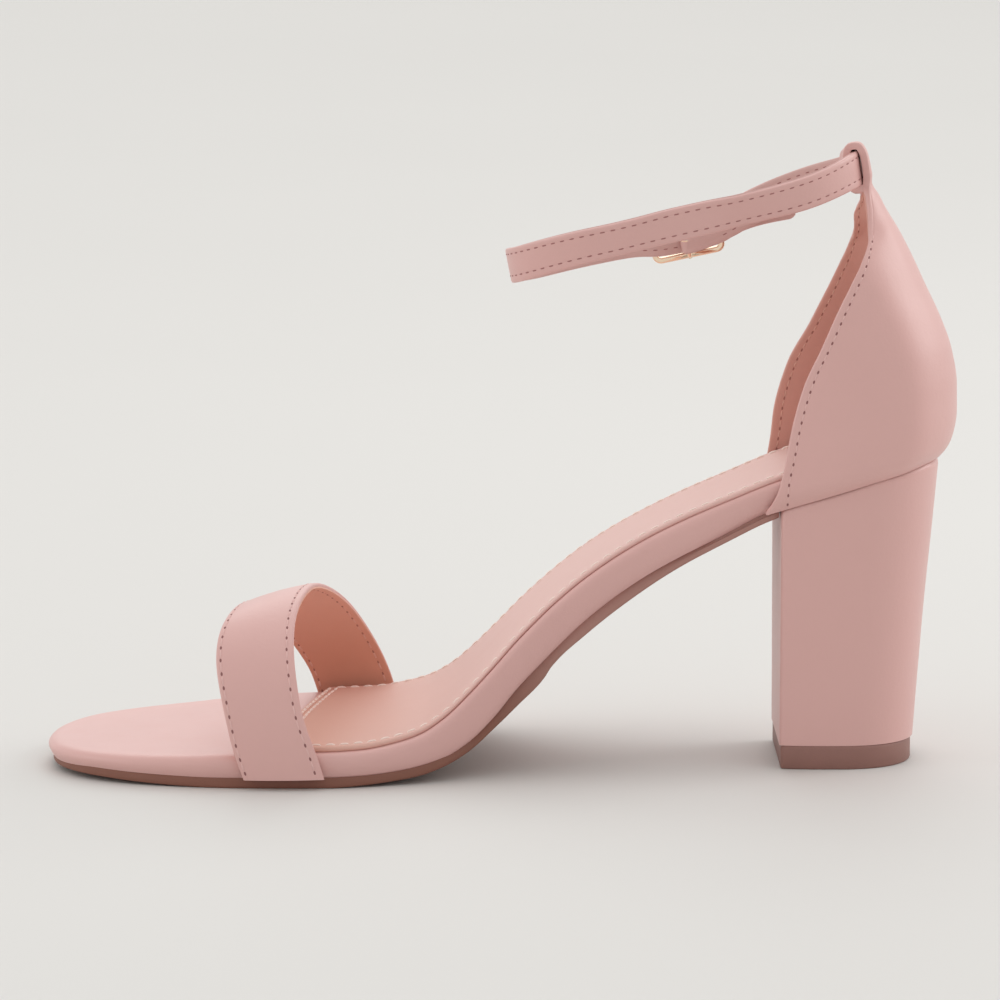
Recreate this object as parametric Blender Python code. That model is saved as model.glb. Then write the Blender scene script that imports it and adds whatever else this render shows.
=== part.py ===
"""A heeled open-toe sandal with a vamp strap, a closed heel counter and a buckled ankle strap.

The tables hold millimetres, and the meshes are in metres. Station runs from the toe tip to the heel.
x points from toe to heel, y to the lateral side and z up. Medial values are negative.
"""

import collections

import bmesh
import bpy
import numpy as np

for old in list(bpy.data.objects):
    bpy.data.objects.remove(old, do_unlink=True)

MM = 0.001

# Driving sizes in millimetres, and angles in degrees
LENGTH = 230.0
MIDDLE = LENGTH / 2
GAP = 0.3
BOARD_LENGTH = 222.5
SOCK_THICKNESS = 1.2
SOCK_INSET = 2.2
TREAD_SKEW = 0.04
SEAT_DISH = 1.0
WAIST_CROWN = 1.5
BREAST_STATION = 184.6
LIFT_HEIGHT = 6.0
LIFT_PROUD = 0.35
LIFT_SET_BACK = 0.3
LIFT_SHORT = 0.9
LIFT_CHAMFER = 0.3
HEEL_FRONT_CORNER = 1.6
VAMP_THICKNESS = 1.6
VAMP_CROWN = 0.7
VAMP_EDGE_ROUND = 0.25
COUNTER_WALL = 2.0
TAB_WALL = 1.9
SEAT_WIDEN = 1.11
SEAT_STRETCH = 0.93
STRAP_WIDTH = 8.8
STRAP_THICKNESS = 1.6
STRAP_TIP = 2.0
STRAP_BLUNT = 0.55
FOLD_THICKNESS = 0.9
FOLD_CLEARANCE = 0.2
FOLD_UP = -0.1
LOOP_WIDTH = 9.4
LOOP_WALL = 1.6
LOOP_CLEARANCE = 0.9
LOOP_SQUARE = 0.72
BUCKLE_AT = (162.7, 23.7, 130.4)
BUCKLE_PITCH = 11.8
BUCKLE_LEAN = 15.0
BUCKLE_LENGTH = 18.8
BUCKLE_HEIGHT = 12.7
BUCKLE_BAR = 1.6
BUCKLE_DEPTH = 1.24
BUCKLE_CORNER = 1.5
BUCKLE_REACH = (9.0, 16.0)
PIVOT_RADIUS = 0.63
PIVOT_DEPTH = 2.6
PRONG_RADIUS = 0.5
PRONG_CLEARANCE = 0.15

# Stretches of the sole, as first and last stations
TOE_ROUND = 28.0
SEAT_ROUND = 200.0
TOE_THIN = (0.0, 60.0)
BOARD_SEAT = (160.0, 181.0)
SEAT_HOLLOW = (130.0, 190.0)
WAIST_BEGINS = (100.0, 130.0)
WAIST_ENDS = (165.0, 184.0)
TOE_TUCK = (0.0, 14.0)
SHANK_TUCK = (95.0, 120.0)
SEAT_TUCK = (165.0, BREAST_STATION)
SHANK_STEP = (125.0, 126.2)
SOCK_FRONT_MEDIAL, SOCK_FRONT_MIDDLE, SOCK_FRONT_LATERAL = 55.5, 62.0, 71.0
SOCK_SKEW_SHARE = 0.6

# How finely the surfaces are divided
STATION_STEP = 5.4
TOE_STEPS = 8
SEAT_STEPS = 6
HEEL_ROWS = 8
HEEL_BACK_POINTS = 9
COUNTER_ROWS = 25
COUNTER_POINTS = 13
VAMP_ROWS = 27
VAMP_COLUMNS = 5
STRAP_ROWS = 120
STRAP_EVEN = 0.35
STRAP_BEND = 60.0
FINE_ROWS = 1200
SHARP_ANGLE = 38.0
LOOP_SIDES = 20
LOOP_STEPS = 5
BAR_SIDES = 8
PRONG_SIDES = 6
PRONG_ROWS = 26

# Outline of the covered board, seen from above
Plan = collections.namedtuple("Plan", "station medial lateral")
PLAN = [
    Plan(0.0, -7.0, -7.0),
    Plan(3.0, -19.3, 6.5),
    Plan(12.0, -30.3, 21.5),
    Plan(28.0, -37.7, 32.8),
    Plan(50.0, -41.4, 39.7),
    Plan(72.0, -42.0, 42.3),
    Plan(92.0, -37.8, 42.5),
    Plan(112.0, -29.8, 38.3),
    Plan(132.0, -22.9, 31.2),
    Plan(154.0, -20.0, 26.3),
    Plan(176.0, -21.3, 24.6),
    Plan(196.0, -23.5, 24.2),
    Plan(210.0, -21.4, 21.6),
    Plan(219.0, -12.4, 12.6),
    Plan(222.5, 0.0, 0.0),
]

# Heights along the centre line: under the outsole, under the board and at the board's upper edge
Side = collections.namedtuple("Side", "station sole board top")
SIDE = [
    Side(0.0, 2.2, 3.2, 6.7),
    Side(12.0, 1.7, 3.2, 6.9),
    Side(24.0, 0.9, 2.9, 7.3),
    Side(36.0, 0.25, 2.55, 7.8),
    Side(44.0, 0.0, 2.4, 8.2),
    Side(58.0, 0.0, 2.4, 8.7),
    Side(72.0, 0.0, 2.5, 8.9),
    Side(82.0, 0.5, 2.75, 9.3),
    Side(90.0, 1.2, 3.4, 10.6),
    Side(96.0, 2.1, 4.4, 12.4),
    Side(102.0, 3.9, 6.2, 16.0),
    Side(108.0, 7.1, 9.6, 21.4),
    Side(114.0, 12.2, 15.2, 27.6),
    Side(120.0, 17.8, 22.3, 34.1),
    Side(125.0, 22.8, 27.4, 39.0),
    Side(126.2, 24.9, 28.6, 40.2),
    Side(137.0, 35.0, 38.7, 49.2),
    Side(149.0, 44.2, 47.6, 57.0),
    Side(161.0, 52.1, 54.6, 63.3),
    Side(173.0, 58.5, 60.4, 68.7),
    Side(185.0, 64.0, 66.2, 73.8),
    Side(198.0, 68.0, 70.2, 78.0),
    Side(212.0, 71.9, 73.8, 81.6),
    Side(222.5, 74.3, 76.2, 84.0),
]

# Rings round the covered board's edge: how far in from the outline at the toe and at the seat, and the height
Ring = collections.namedtuple("Ring", "toe seat base rise")
BOARD_RINGS = [
    Ring(1.2, 4.5, "low", 0.0),
    Ring(0.3, 1.9, "low", 2.2),
    Ring(0.0, 0.9, "high", -2.6),
    Ring(0.5, 1.1, "high", -1.2),
    Ring(1.4, 1.9, "high", -0.35),
    Ring(2.6, 2.9, "high", 0.0),
]

# Edges of the vamp strap's outer face, from the medial base over the top to the lateral base
Vamp = collections.namedtuple("Vamp", "front_u front_y front_z rear_u rear_y rear_z")
VAMP = [
    Vamp(50.6, -43.4, 2.6, 70.8, -44.0, 2.8),
    Vamp(48.2, -43.2, 9.5, 68.7, -43.9, 9.5),
    Vamp(46.3, -42.5, 17.5, 66.0, -43.1, 17.0),
    Vamp(45.2, -40.8, 25.0, 64.2, -41.0, 24.5),
    Vamp(44.8, -37.2, 31.6, 63.1, -37.2, 31.2),
    Vamp(45.5, -31.2, 36.8, 63.0, -31.0, 37.2),
    Vamp(47.1, -22.0, 40.1, 64.2, -21.2, 42.2),
    Vamp(49.4, -10.0, 40.9, 66.4, -8.5, 44.8),
    Vamp(52.2, 2.0, 39.2, 69.0, 4.5, 44.0),
    Vamp(55.5, 13.5, 35.4, 72.6, 16.0, 40.6),
    Vamp(59.2, 24.2, 30.0, 76.7, 26.4, 35.2),
    Vamp(62.6, 33.0, 23.2, 80.7, 34.8, 28.2),
    Vamp(65.6, 39.4, 16.0, 84.6, 40.8, 20.2),
    Vamp(67.9, 43.0, 9.2, 87.8, 44.1, 11.6),
    Vamp(69.6, 44.2, 2.7, 89.8, 44.6, 3.6),
]

# Sections of the counter: the point on the back seam, the front edge and the width against the seat
Cup = collections.namedtuple("Cup", "back_u back_z front_u front_z width lateral_more")
COUNTER = [
    Cup(226.6, 77.0, 181.2, 65.2, 0.890, 0.3),
    Cup(228.2, 79.3, 182.6, 67.8, 0.955, 0.3),
    Cup(229.5, 83.0, 184.0, 71.4, 0.995, 0.4),
    Cup(230.4, 89.0, 185.6, 78.0, 1.000, 0.8),
    Cup(230.3, 96.3, 187.2, 87.0, 0.985, 1.3),
    Cup(228.9, 104.6, 190.2, 98.0, 0.955, 1.0),
    Cup(225.9, 112.9, 194.6, 107.6, 0.920, 0.2),
    Cup(222.2, 120.7, 198.4, 115.8, 0.885, 0.0),
    Cup(218.6, 128.4, 202.4, 123.6, 0.850, 0.5),
    Cup(215.2, 134.9, 205.5, 130.0, 0.800, 1.2),
    Cup(212.2, 139.8, 207.0, 134.8, 0.700, 1.9),
    Cup(209.2, 145.5, 207.3, 142.4, 0.600, 1.7),
]

# Heel block from the ground up to the seat
Heel = collections.namedtuple("Heel", "share front back half_width")
HEEL = [
    Heel(0.0, 185.1, 219.9, 19.3),
    Heel(0.25, 185.1, 221.2, 19.8),
    Heel(0.5, 185.1, 222.6, 20.6),
    Heel(0.75, 185.1, 224.3, 21.7),
    Heel(1.0, 185.1, 225.9, 22.9),
]
# The heel's side ahead of its round back: distance behind the front, and width against the widest
HeelSide = collections.namedtuple("HeelSide", "behind width")
HEEL_SIDE = [HeelSide(2.2, 0.975), HeelSide(0.6, 0.955)]
HEEL_ROUND_SHARE = 0.55
HEEL_ROUND_POWER = 0.9

# Middle line of the ankle strap; lean is the tilt of its upper edge towards the ankle
Turn = collections.namedtuple("Turn", "station lateral height lean")
LOOP_POINT = Turn(204.9, 0.0, 150.1, 11.0)
OWN_RUN = [
    Turn(184.5, 19.0, 140.4, 7.0),
    Turn(195.5, 15.0, 145.0, 8.0),
    Turn(202.4, 8.0, 147.9, 9.0),
    LOOP_POINT,
]
MEDIAL_RUN = [
    Turn(202.2, -8.0, 149.7, 2.0),
    Turn(194.5, -15.8, 147.0, -11.0),
    Turn(186.0, -19.6, 144.7, -18.0),
    Turn(176.0, -22.2, 142.6, -24.0),
    Turn(166.0, -23.1, 140.4, -25.0),
    Turn(155.0, -23.2, 137.9, -23.0),
    Turn(144.0, -22.0, 135.0, -20.0),
    Turn(134.0, -19.4, 132.4, -18.0),
    Turn(123.8, -12.8, 128.8, -14.0),
    Turn(118.6, -4.4, 126.3, -11.0),
    Turn(118.4, 4.6, 125.2, -11.0),
    Turn(123.4, 12.8, 125.0, -8.0),
    Turn(134.5, 19.2, 126.8, 0.0),
]
# The strap at the buckle: along the frame, outwards from the frame's plane and up from the frame's middle
Weave = collections.namedtuple("Weave", "along out up thickness")
OWN_END = [
    Weave(3.0, -2.05, FOLD_UP, FOLD_THICKNESS),
    Weave(1.3, -1.5, FOLD_UP, FOLD_THICKNESS),
]
OWN_LEAVES = [
    Weave(3.0, -3.9, 0.1, FOLD_THICKNESS),
    Weave(6.0, -3.75, 0.8, 1.2),
    Weave(10.0, -3.55, 2.4, STRAP_THICKNESS),
    Weave(14.5, -3.4, 4.1, STRAP_THICKNESS),
]
FREE_END = [
    Weave(-15.0, -1.75, 2.2, STRAP_THICKNESS),
    Weave(-11.0, -1.75, 1.7, STRAP_THICKNESS),
    Weave(-8.2, -1.65, 1.1, STRAP_THICKNESS),
    Weave(-4.0, -0.5, 0.2, STRAP_THICKNESS),
    Weave(0.0, 0.2, -0.1, STRAP_THICKNESS),
    Weave(4.0, -0.5, 0.2, STRAP_THICKNESS),
    Weave(8.2, -1.65, 1.2, STRAP_THICKNESS),
    Weave(12.0, -1.4, 2.4, STRAP_THICKNESS),
    Weave(19.0, -1.0, 3.4, STRAP_THICKNESS),
    Weave(28.4, -2.2, 3.8, STRAP_THICKNESS),
]
# The prong's turn round the pivot bar as first angle, last angle and points, and its middle line after it
PRONG_TURN = (-160, 90, 9)
Prong = collections.namedtuple("Prong", "along out")
PRONG = [
    Prong(-1.1, -1.25),
    Prong(-2.2, -0.35),
    Prong(-3.2, 0.7),
    Prong(-4.6, 1.35),
    Prong(-6.5, 1.45),
    Prong(-8.1, 1.3),
    Prong(-9.6, 0.95),
]
# Cuts in the strap for the prong, as lowest and highest values: the fold's slot and the free end's hole
Cut = collections.namedtuple("Cut", "along out rise")
PRONG_SLOT = Cut((-3.2, 3.2), (-5.4, -0.7), (-0.95, 0.95))
PRONG_HOLE = Cut((-4.7, 0.3), (-1.9, 1.8), (-0.95, 0.95))

# The strap's section, in half-widths and half-thicknesses
Corner = collections.namedtuple("Corner", "width thickness")
STRAP_SECTION = [
    Corner(1, -0.55),
    Corner(1, 0.55),
    Corner(0.93, 1),
    Corner(-0.93, 1),
    Corner(-1, 0.55),
    Corner(-1, -0.55),
    Corner(-0.93, -1),
    Corner(0.93, -1),
]


def column(rows, name):
    return np.array([getattr(row, name) for row in rows])


def slopes(xs, ys):
    """Slopes for a cubic through the points that adds no bumps between them."""
    step = np.diff(xs)
    rise = np.diff(ys) / step
    out = np.empty(len(xs))
    out[0], out[-1] = rise[0], rise[-1]
    for i in range(1, len(xs) - 1):
        a, b = rise[i - 1], rise[i]
        if a * b <= 0:
            out[i] = 0.0
        else:
            wa = 2 * step[i] + step[i - 1]
            wb = step[i] + 2 * step[i - 1]
            out[i] = (wa + wb) / (wa / a + wb / b)
    return out


def smooth(x, xs, ys):
    """A smooth curve through (xs, ys), read at x."""
    xs, ys = np.asarray(xs, float), np.asarray(ys, float)
    x = np.clip(np.asarray(x, float), xs[0], xs[-1])
    i = np.clip(np.searchsorted(xs, x, side="right") - 1, 0, len(xs) - 2)
    step = xs[i + 1] - xs[i]
    t = (x - xs[i]) / step
    m = slopes(xs, ys)
    a = (1 + 2 * t) * (1 - t) ** 2 * ys[i] + t * (1 - t) ** 2 * step * m[i]
    return a + t * t * (3 - 2 * t) * ys[i + 1] + t * t * (t - 1) * step * m[i + 1]


def through(points, count):
    """A curve through the points, read at count even steps; each row holds every column of a point."""
    points = np.asarray(points, float)
    run = np.concatenate([[0], np.cumsum(np.sqrt(np.linalg.norm(np.diff(points[:, :3], axis=0), axis=1)))])
    n = len(points)
    system, right = np.eye(n), np.zeros_like(points)
    for i in range(1, n - 1):
        a, b = run[i] - run[i - 1], run[i + 1] - run[i]
        system[i, i - 1:i + 2] = a, 2 * (a + b), b
        right[i] = 6 * ((points[i + 1] - points[i]) / b - (points[i] - points[i - 1]) / a)
    bend = np.linalg.solve(system, right)
    fine = np.linspace(0, run[-1], 2000)
    i = np.clip(np.searchsorted(run, fine, side="right") - 1, 0, n - 2)
    step = (run[i + 1] - run[i])[:, None]
    p = ((run[i + 1] - fine)[:, None]) / step
    q = 1 - p
    curve = p * points[i] + q * points[i + 1]
    curve += ((p ** 3 - p) * bend[i] + (q ** 3 - q) * bend[i + 1]) * step ** 2 / 6
    length = np.concatenate([[0], np.cumsum(np.linalg.norm(np.diff(curve[:, :3], axis=0), axis=1))])
    even = np.linspace(0, length[-1], count)
    return np.stack([np.interp(even, length, curve[:, k]) for k in range(points.shape[1])], 1)


def nose(u):
    """Stretches the stations at the toe and the heel end, where the outline turns across."""
    u = np.clip(u, 0, BOARD_LENGTH)
    return np.sqrt(u) - np.sqrt(BOARD_LENGTH - u)


def plan(u, side):
    return smooth(nose(u), nose(column(PLAN, "station")), column(PLAN, side))


def height(u, y, name):
    return smooth(u - TREAD_SKEW * y, column(SIDE, "station"), column(SIDE, name))


def blend(u, stretch):
    """Rises smoothly from 0 to 1 over a stretch."""
    start, end = stretch
    t = np.clip((u - start) / (end - start), 0, 1)
    return t * t * (3 - 2 * t)


def across(u, y):
    """Where y lies between the middle (0) and the edge (1) of the board."""
    middle = (plan(u, "medial") + plan(u, "lateral")) / 2
    half = np.maximum((plan(u, "lateral") - plan(u, "medial")) / 2, 1.0)
    return np.clip((y - middle) / half, -1, 1)


def top_of_board(u, y):
    return height(u, y, "top") - SEAT_DISH * blend(u, SEAT_HOLLOW) * (1 - across(u, y) ** 2)


def under_board(u, y):
    return height(u, y, "board")


def under_outsole(u, y):
    crown = WAIST_CROWN * blend(u, WAIST_BEGINS) * (1 - blend(u, WAIST_ENDS))
    return height(u, y, "sole") - crown * (1 - across(u, y) ** 2)


def inset(loop, amount):
    """A closed loop of (u, y) points moved inwards by an amount for each point."""
    ahead = np.roll(loop, -1, 0) - loop
    ahead /= np.linalg.norm(ahead, axis=1)[:, None]
    normal = np.stack([-ahead[:, 1], ahead[:, 0]], 1)
    joint = normal + np.roll(normal, 1, 0)
    joint /= np.maximum((joint * joint).sum(1), 0.9)[:, None] / 2
    area = np.sum(loop[:, 0] * np.roll(loop[:, 1], -1) - loop[:, 1] * np.roll(loop[:, 0], -1))
    return loop + joint * np.sign(area) * np.broadcast_to(amount, len(loop))[:, None]


def zipper(a, b):
    """Triangles between two rows of point numbers."""
    faces, i, j = [], 0, 0
    while i < len(a) - 1 or j < len(b) - 1:
        if j == len(b) - 1 or (i < len(a) - 1 and (i + 1) * (len(b) - 1) <= (j + 1) * (len(a) - 1)):
            faces.append((a[i], a[i + 1], b[j]))
            i += 1
        else:
            faces.append((a[i], b[j + 1], b[j]))
            j += 1
    return faces


def cap(points, ring, pairs, columns, surface):
    """Fills a ring with strips between its paired points; surface gives the height inside."""
    rows = []
    for pair in pairs:
        first, last = ring[pair[0]], ring[pair[1]]
        if first == last:
            rows.append([first])
            continue
        row = [first]
        inside = 0 if pair in (pairs[0], pairs[-1]) else columns
        for share in np.arange(1, inside + 1) / (inside + 1):
            at = np.array(points[first]) * (1 - share) + np.array(points[last]) * share
            if surface:
                at[2] = surface(at[0], at[1])
            points.append(tuple(at))
            row.append(len(points) - 1)
        rows.append(row + [last])
    faces = []
    for a, b in zip(rows, rows[1:]):
        faces += zipper(a, b)
    return faces


def loft(loops, pairs, columns=(0, 0), surfaces=(None, None), closed=False):
    """A closed mesh through loops of equal length, with a cap at each end."""
    points, rings, faces = [], [], []
    for loop in loops:
        rings.append(list(range(len(points), len(points) + len(loop))))
        points += [tuple(p) for p in loop]
    count = len(loops[0])
    following = list(zip(rings, rings[1:])) + ([(rings[-1], rings[0])] if closed else [])
    for a, b in following:
        for i in range(count):
            j = (i + 1) % count
            faces += [(a[i], a[j], b[j]), (a[i], b[j], b[i])]
    if not closed:
        faces += [f[::-1] for f in cap(points, rings[0], pairs, columns[0], surfaces[0])]
        faces += cap(points, rings[-1], pairs, columns[1], surfaces[1])
    return points, faces


def material(name, color, roughness, metallic=0.0):
    made = bpy.data.materials.new(name)
    made.use_nodes = True
    surface = made.node_tree.nodes["Principled BSDF"]
    surface.inputs["Base Color"].default_value = (*color, 1.0)
    surface.inputs["Roughness"].default_value = roughness
    surface.inputs["Metallic"].default_value = metallic
    made.diffuse_color = (*color, 1.0)
    return made


def shade(data):
    data.shade_smooth()
    data.set_sharp_from_angle(angle=np.radians(SHARP_ANGLE))


def solid(name, mesh, look):
    """An object from points in table millimetres, with its faces turned outwards."""
    points, faces = mesh
    data = bpy.data.meshes.new(name)
    data.from_pydata([((p[0] - MIDDLE) * MM, p[1] * MM, p[2] * MM) for p in points], [], faces)
    work = bmesh.new()
    work.from_mesh(data)
    bmesh.ops.recalc_face_normals(work, faces=work.faces)
    if work.calc_volume(signed=True) < 0:
        bmesh.ops.reverse_faces(work, faces=work.faces)
    work.to_mesh(data)
    work.free()
    shade(data)
    made = bpy.data.objects.new(name, data)
    made.data.materials.append(look)
    bpy.context.scene.collection.objects.link(made)
    return made


def join(target, other, operation):
    """Applies a Boolean and removes the other object."""
    step = target.modifiers.new("shape", "BOOLEAN")
    step.operation = operation
    step.object = other
    step.solver = "EXACT"
    bpy.context.view_layer.update()
    graph = bpy.context.evaluated_depsgraph_get()
    shaped = bpy.data.meshes.new_from_object(target.evaluated_get(graph))
    target.modifiers.clear()
    shade(shaped)
    target.data = shaped
    bpy.data.objects.remove(other, do_unlink=True)


def sole_stations(start, end, toe, heel):
    """Stations along the sole, closer together where the outline turns across at a closed end."""
    first, last = (TOE_ROUND if toe else start), (SEAT_ROUND if heel else end)
    turn = np.pi / 2 * np.arange(TOE_STEPS) / TOE_STEPS
    out = list(TOE_ROUND * (1 - np.cos(turn))) if toe else []
    out += list(np.linspace(first, last, int(np.ceil((last - first) / STATION_STEP)) + 1))
    if heel:
        turn = np.pi / 2 * np.arange(1, SEAT_STEPS + 1) / SEAT_STEPS
        out += list(last + (end - last) * np.sin(turn))
    return np.array(out)


def outline(medial_u, lateral_u, front_closed, back_closed):
    """The loop of the plan and its pairs: the medial side backwards, then the lateral side forwards."""
    n = len(medial_u)
    medial = np.stack([medial_u, plan(medial_u, "medial")], 1)
    lateral = np.stack([lateral_u, plan(lateral_u, "lateral")], 1)
    first, last = int(front_closed), n - int(back_closed)
    loop = np.concatenate([medial, lateral[first:last][::-1]])
    pairs = []
    for i in range(n):
        if (i == 0 and front_closed) or (i == n - 1 and back_closed):
            pairs.append((i, i))
        else:
            pairs.append((i, n + last - 1 - i))
    return loop, pairs


def lifted(surface, rise):
    """The same surface, higher by rise."""
    return lambda u, y: surface(u, y) + rise


def raised(loop, surface, rise):
    return np.column_stack([loop, surface(loop[:, 0], loop[:, 1]) + rise])


def board():
    u = sole_stations(0.0, BOARD_LENGTH, True, True)
    loop, pairs = outline(u, u, True, True)
    back = blend(loop[:, 0], BOARD_SEAT)
    thin = 0.55 + 0.45 * blend(loop[:, 0], TOE_THIN)
    loops = []
    for ring in BOARD_RINGS:
        inner = inset(loop, ring.toe + (ring.seat - ring.toe) * back)
        base = under_board if ring.base == "low" else top_of_board
        loops.append(raised(inner, base, ring.rise * thin))
    return loft(loops, pairs, (0, 3), (None, top_of_board))


def sock():
    u = sole_stations(SOCK_FRONT_MIDDLE, BOARD_LENGTH, False, True)
    share = (u - u[0]) / (BOARD_LENGTH - u[0])
    early = np.clip(1 - share / SOCK_SKEW_SHARE, 0, 1) ** 2
    medial = u + (SOCK_FRONT_MEDIAL - SOCK_FRONT_MIDDLE) * early
    lateral = u + (SOCK_FRONT_LATERAL - SOCK_FRONT_MIDDLE) * early
    loop, pairs = outline(medial, lateral, False, True)
    loops = []
    for away, rise in ((0.5, 0.0), (0.0, 0.35), (0.0, 0.65), (0.8, SOCK_THICKNESS)):
        loops.append(raised(inset(loop, SOCK_INSET + away), top_of_board, GAP + rise))
    return loft(loops, pairs, (3, 3), (lifted(top_of_board, GAP), lifted(top_of_board, GAP + SOCK_THICKNESS)))


def outsole():
    u = sole_stations(0.0, BREAST_STATION, True, False)
    u = np.sort(np.append(u, SHANK_STEP))
    loop, pairs = outline(u, u, True, False)
    tuck = 1.9 - 1.2 * blend(loop[:, 0], TOE_TUCK)
    tuck += 1.2 * blend(loop[:, 0], SHANK_TUCK) + 1.4 * blend(loop[:, 0], SEAT_TUCK)
    end = loop[:, 0] > BREAST_STATION - 0.01
    loops = []
    for away, base, rise in ((0.5, under_outsole, 0.0), (0.0, under_outsole, 0.5), (0.1, under_board, -GAP)):
        inner = inset(loop, tuck + away)
        inner[end, 0] = BREAST_STATION
        loops.append(raised(inner, base, rise))
    return loft(loops, pairs, (5, 1), (under_outsole, lifted(under_board, -GAP)))


def heel_loop(front, back, half):
    """A plan with a straight front, nearly straight sides and a round back."""
    depth = back - front
    turn = HEEL_ROUND_SHARE * depth
    angle = np.linspace(0, np.pi / 2, HEEL_BACK_POINTS)
    round_u = back - turn + turn * np.cos(angle) ** HEEL_ROUND_POWER
    round_y = half * np.sin(angle) ** HEEL_ROUND_POWER
    side_u = [front + (depth - turn) / 2] + [front + row.behind for row in HEEL_SIDE] + [front]
    side_y = [half * 0.995] + [half * row.width for row in HEEL_SIDE]
    side_y.append(side_y[-1] - HEEL_FRONT_CORNER)
    half_u = np.concatenate([round_u, side_u])
    half_y = np.concatenate([round_y, side_y])
    loop = np.concatenate([np.stack([half_u[::-1], -half_y[::-1]], 1), np.stack([half_u[1:], half_y[1:]], 1)])
    n = len(half_u)
    return loop, [(k, 2 * n - 2 - k) for k in range(n - 1)] + [(n - 1, n - 1)]


def heel():
    seat = lifted(under_board, -GAP)
    low = LIFT_HEIGHT + GAP
    loops = []
    for share in np.linspace(0, 1, HEEL_ROWS):
        sizes = [smooth(share, column(HEEL, "share"), column(HEEL, name)) for name in Heel._fields[1:]]
        loop, pairs = heel_loop(*sizes)
        high = seat(loop[:, 0], loop[:, 1])
        loops.append(np.column_stack([loop, low + (high - low) * share]))
    return loft(loops, pairs, (0, 3), (None, seat))


def lift():
    base = HEEL[0]
    loops = []
    rows = ((0.0, LIFT_CHAMFER), (0.4, 0.0), (LIFT_HEIGHT - LIFT_CHAMFER, 0.0), (LIFT_HEIGHT, LIFT_CHAMFER))
    for z, shrink in rows:
        more = LIFT_PROUD - shrink
        front = base.front + LIFT_SET_BACK + shrink
        loop, pairs = heel_loop(front, base.back + more - LIFT_SHORT, base.half_width + more)
        loops.append(np.column_stack([loop, np.full(len(loop), z)]))
    return loft(loops, pairs)


def seat_half(q, side):
    """Half-width of the seat at a distance forward from its back end."""
    return SEAT_WIDEN * plan(BOARD_LENGTH - SEAT_STRETCH * q, side)


def counter_face(rows, count):
    """Points on the outer face: a row for each section, from the medial front round to the lateral front."""
    face = []
    t = np.linspace(0, 1, rows)
    at = np.linspace(0, 1, len(COUNTER))
    table = {name: smooth(t, at, column(COUNTER, name)) for name in Cup._fields}
    for k in range(rows):
        halves = []
        for side, more in (("medial", 0.0), ("lateral", table["lateral_more"][k])):
            reach = table["back_u"][k] - table["front_u"][k] + more
            q = reach * np.linspace(1, 0, count) ** 1.8
            y = table["width"][k] * seat_half(q, side)
            z = table["back_z"][k] + (table["front_z"][k] - table["back_z"][k]) * (q / reach) ** 1.15
            halves.append(np.stack([table["back_u"][k] - q, y, z], 1))
        face.append(np.concatenate([halves[0], halves[1][-2::-1]]))
    return np.array(face)


def normals(face):
    """Outward normals of a grid of points."""
    along = np.gradient(face, axis=0)
    around = np.gradient(face, axis=1)
    normal = np.cross(around, along)
    normal /= np.linalg.norm(normal, axis=2)[:, :, None]
    middle = face.shape[1] // 2
    return normal if normal[0, middle, 0] > 0 else -normal


def counter():
    outer = counter_face(COUNTER_ROWS, COUNTER_POINTS)
    wall = np.linspace(COUNTER_WALL, TAB_WALL, len(outer))[:, None, None]
    inner = outer - wall * normals(outer)
    n = outer.shape[1]
    loops = [np.concatenate([a, b[::-1]]) for a, b in zip(outer, inner)]
    return loft(loops, [(j, 2 * n - 1 - j) for j in range(n)])


def vamp():
    front = through([(r.front_u, r.front_y, r.front_z) for r in VAMP], VAMP_ROWS)
    rear = through([(r.rear_u, r.rear_y, r.rear_z) for r in VAMP], VAMP_ROWS)
    share = np.linspace(0, 1, VAMP_COLUMNS)[None, :, None]
    face = front[:, None] * (1 - share) + rear[:, None] * share
    normal = np.cross(np.gradient(face, axis=0), np.gradient(face, axis=1))
    normal /= np.linalg.norm(normal, axis=2)[:, :, None]
    if normal[VAMP_ROWS // 2, 0, 2] < 0:
        normal = -normal
    face = face + normal * VAMP_CROWN * (1 - (2 * share - 1) ** 2)
    edge = VAMP_EDGE_ROUND * np.isin(share, (0, 1))
    outer = face - normal * edge
    inner = face - normal * (VAMP_THICKNESS - edge)
    loops = [np.concatenate([a, b[::-1]]) for a, b in zip(outer, inner)]
    return loft(loops, [(j, 2 * VAMP_COLUMNS - 1 - j) for j in range(VAMP_COLUMNS)])


def buckle_axes():
    pitch, lean = np.radians([BUCKLE_PITCH, BUCKLE_LEAN])
    along = np.array([np.cos(pitch), 0, np.sin(pitch)])
    level = np.array([0.0, 1.0, 0.0])
    upright = np.array([-np.sin(pitch), 0, np.cos(pitch)])
    out = level * np.cos(lean) + upright * np.sin(lean)
    rise = upright * np.cos(lean) - level * np.sin(lean)
    return np.array(BUCKLE_AT), along, out, rise


def at_buckle(along_mm, out_mm, rise_mm=0.0):
    centre, along, out, rise = buckle_axes()
    return centre + along_mm * along + out_mm * out + rise_mm * rise


def woven(weave):
    """A row of the strap's path at the buckle."""
    return (*at_buckle(weave.along, weave.out, weave.up), BUCKLE_LEAN, weave.thickness)


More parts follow.
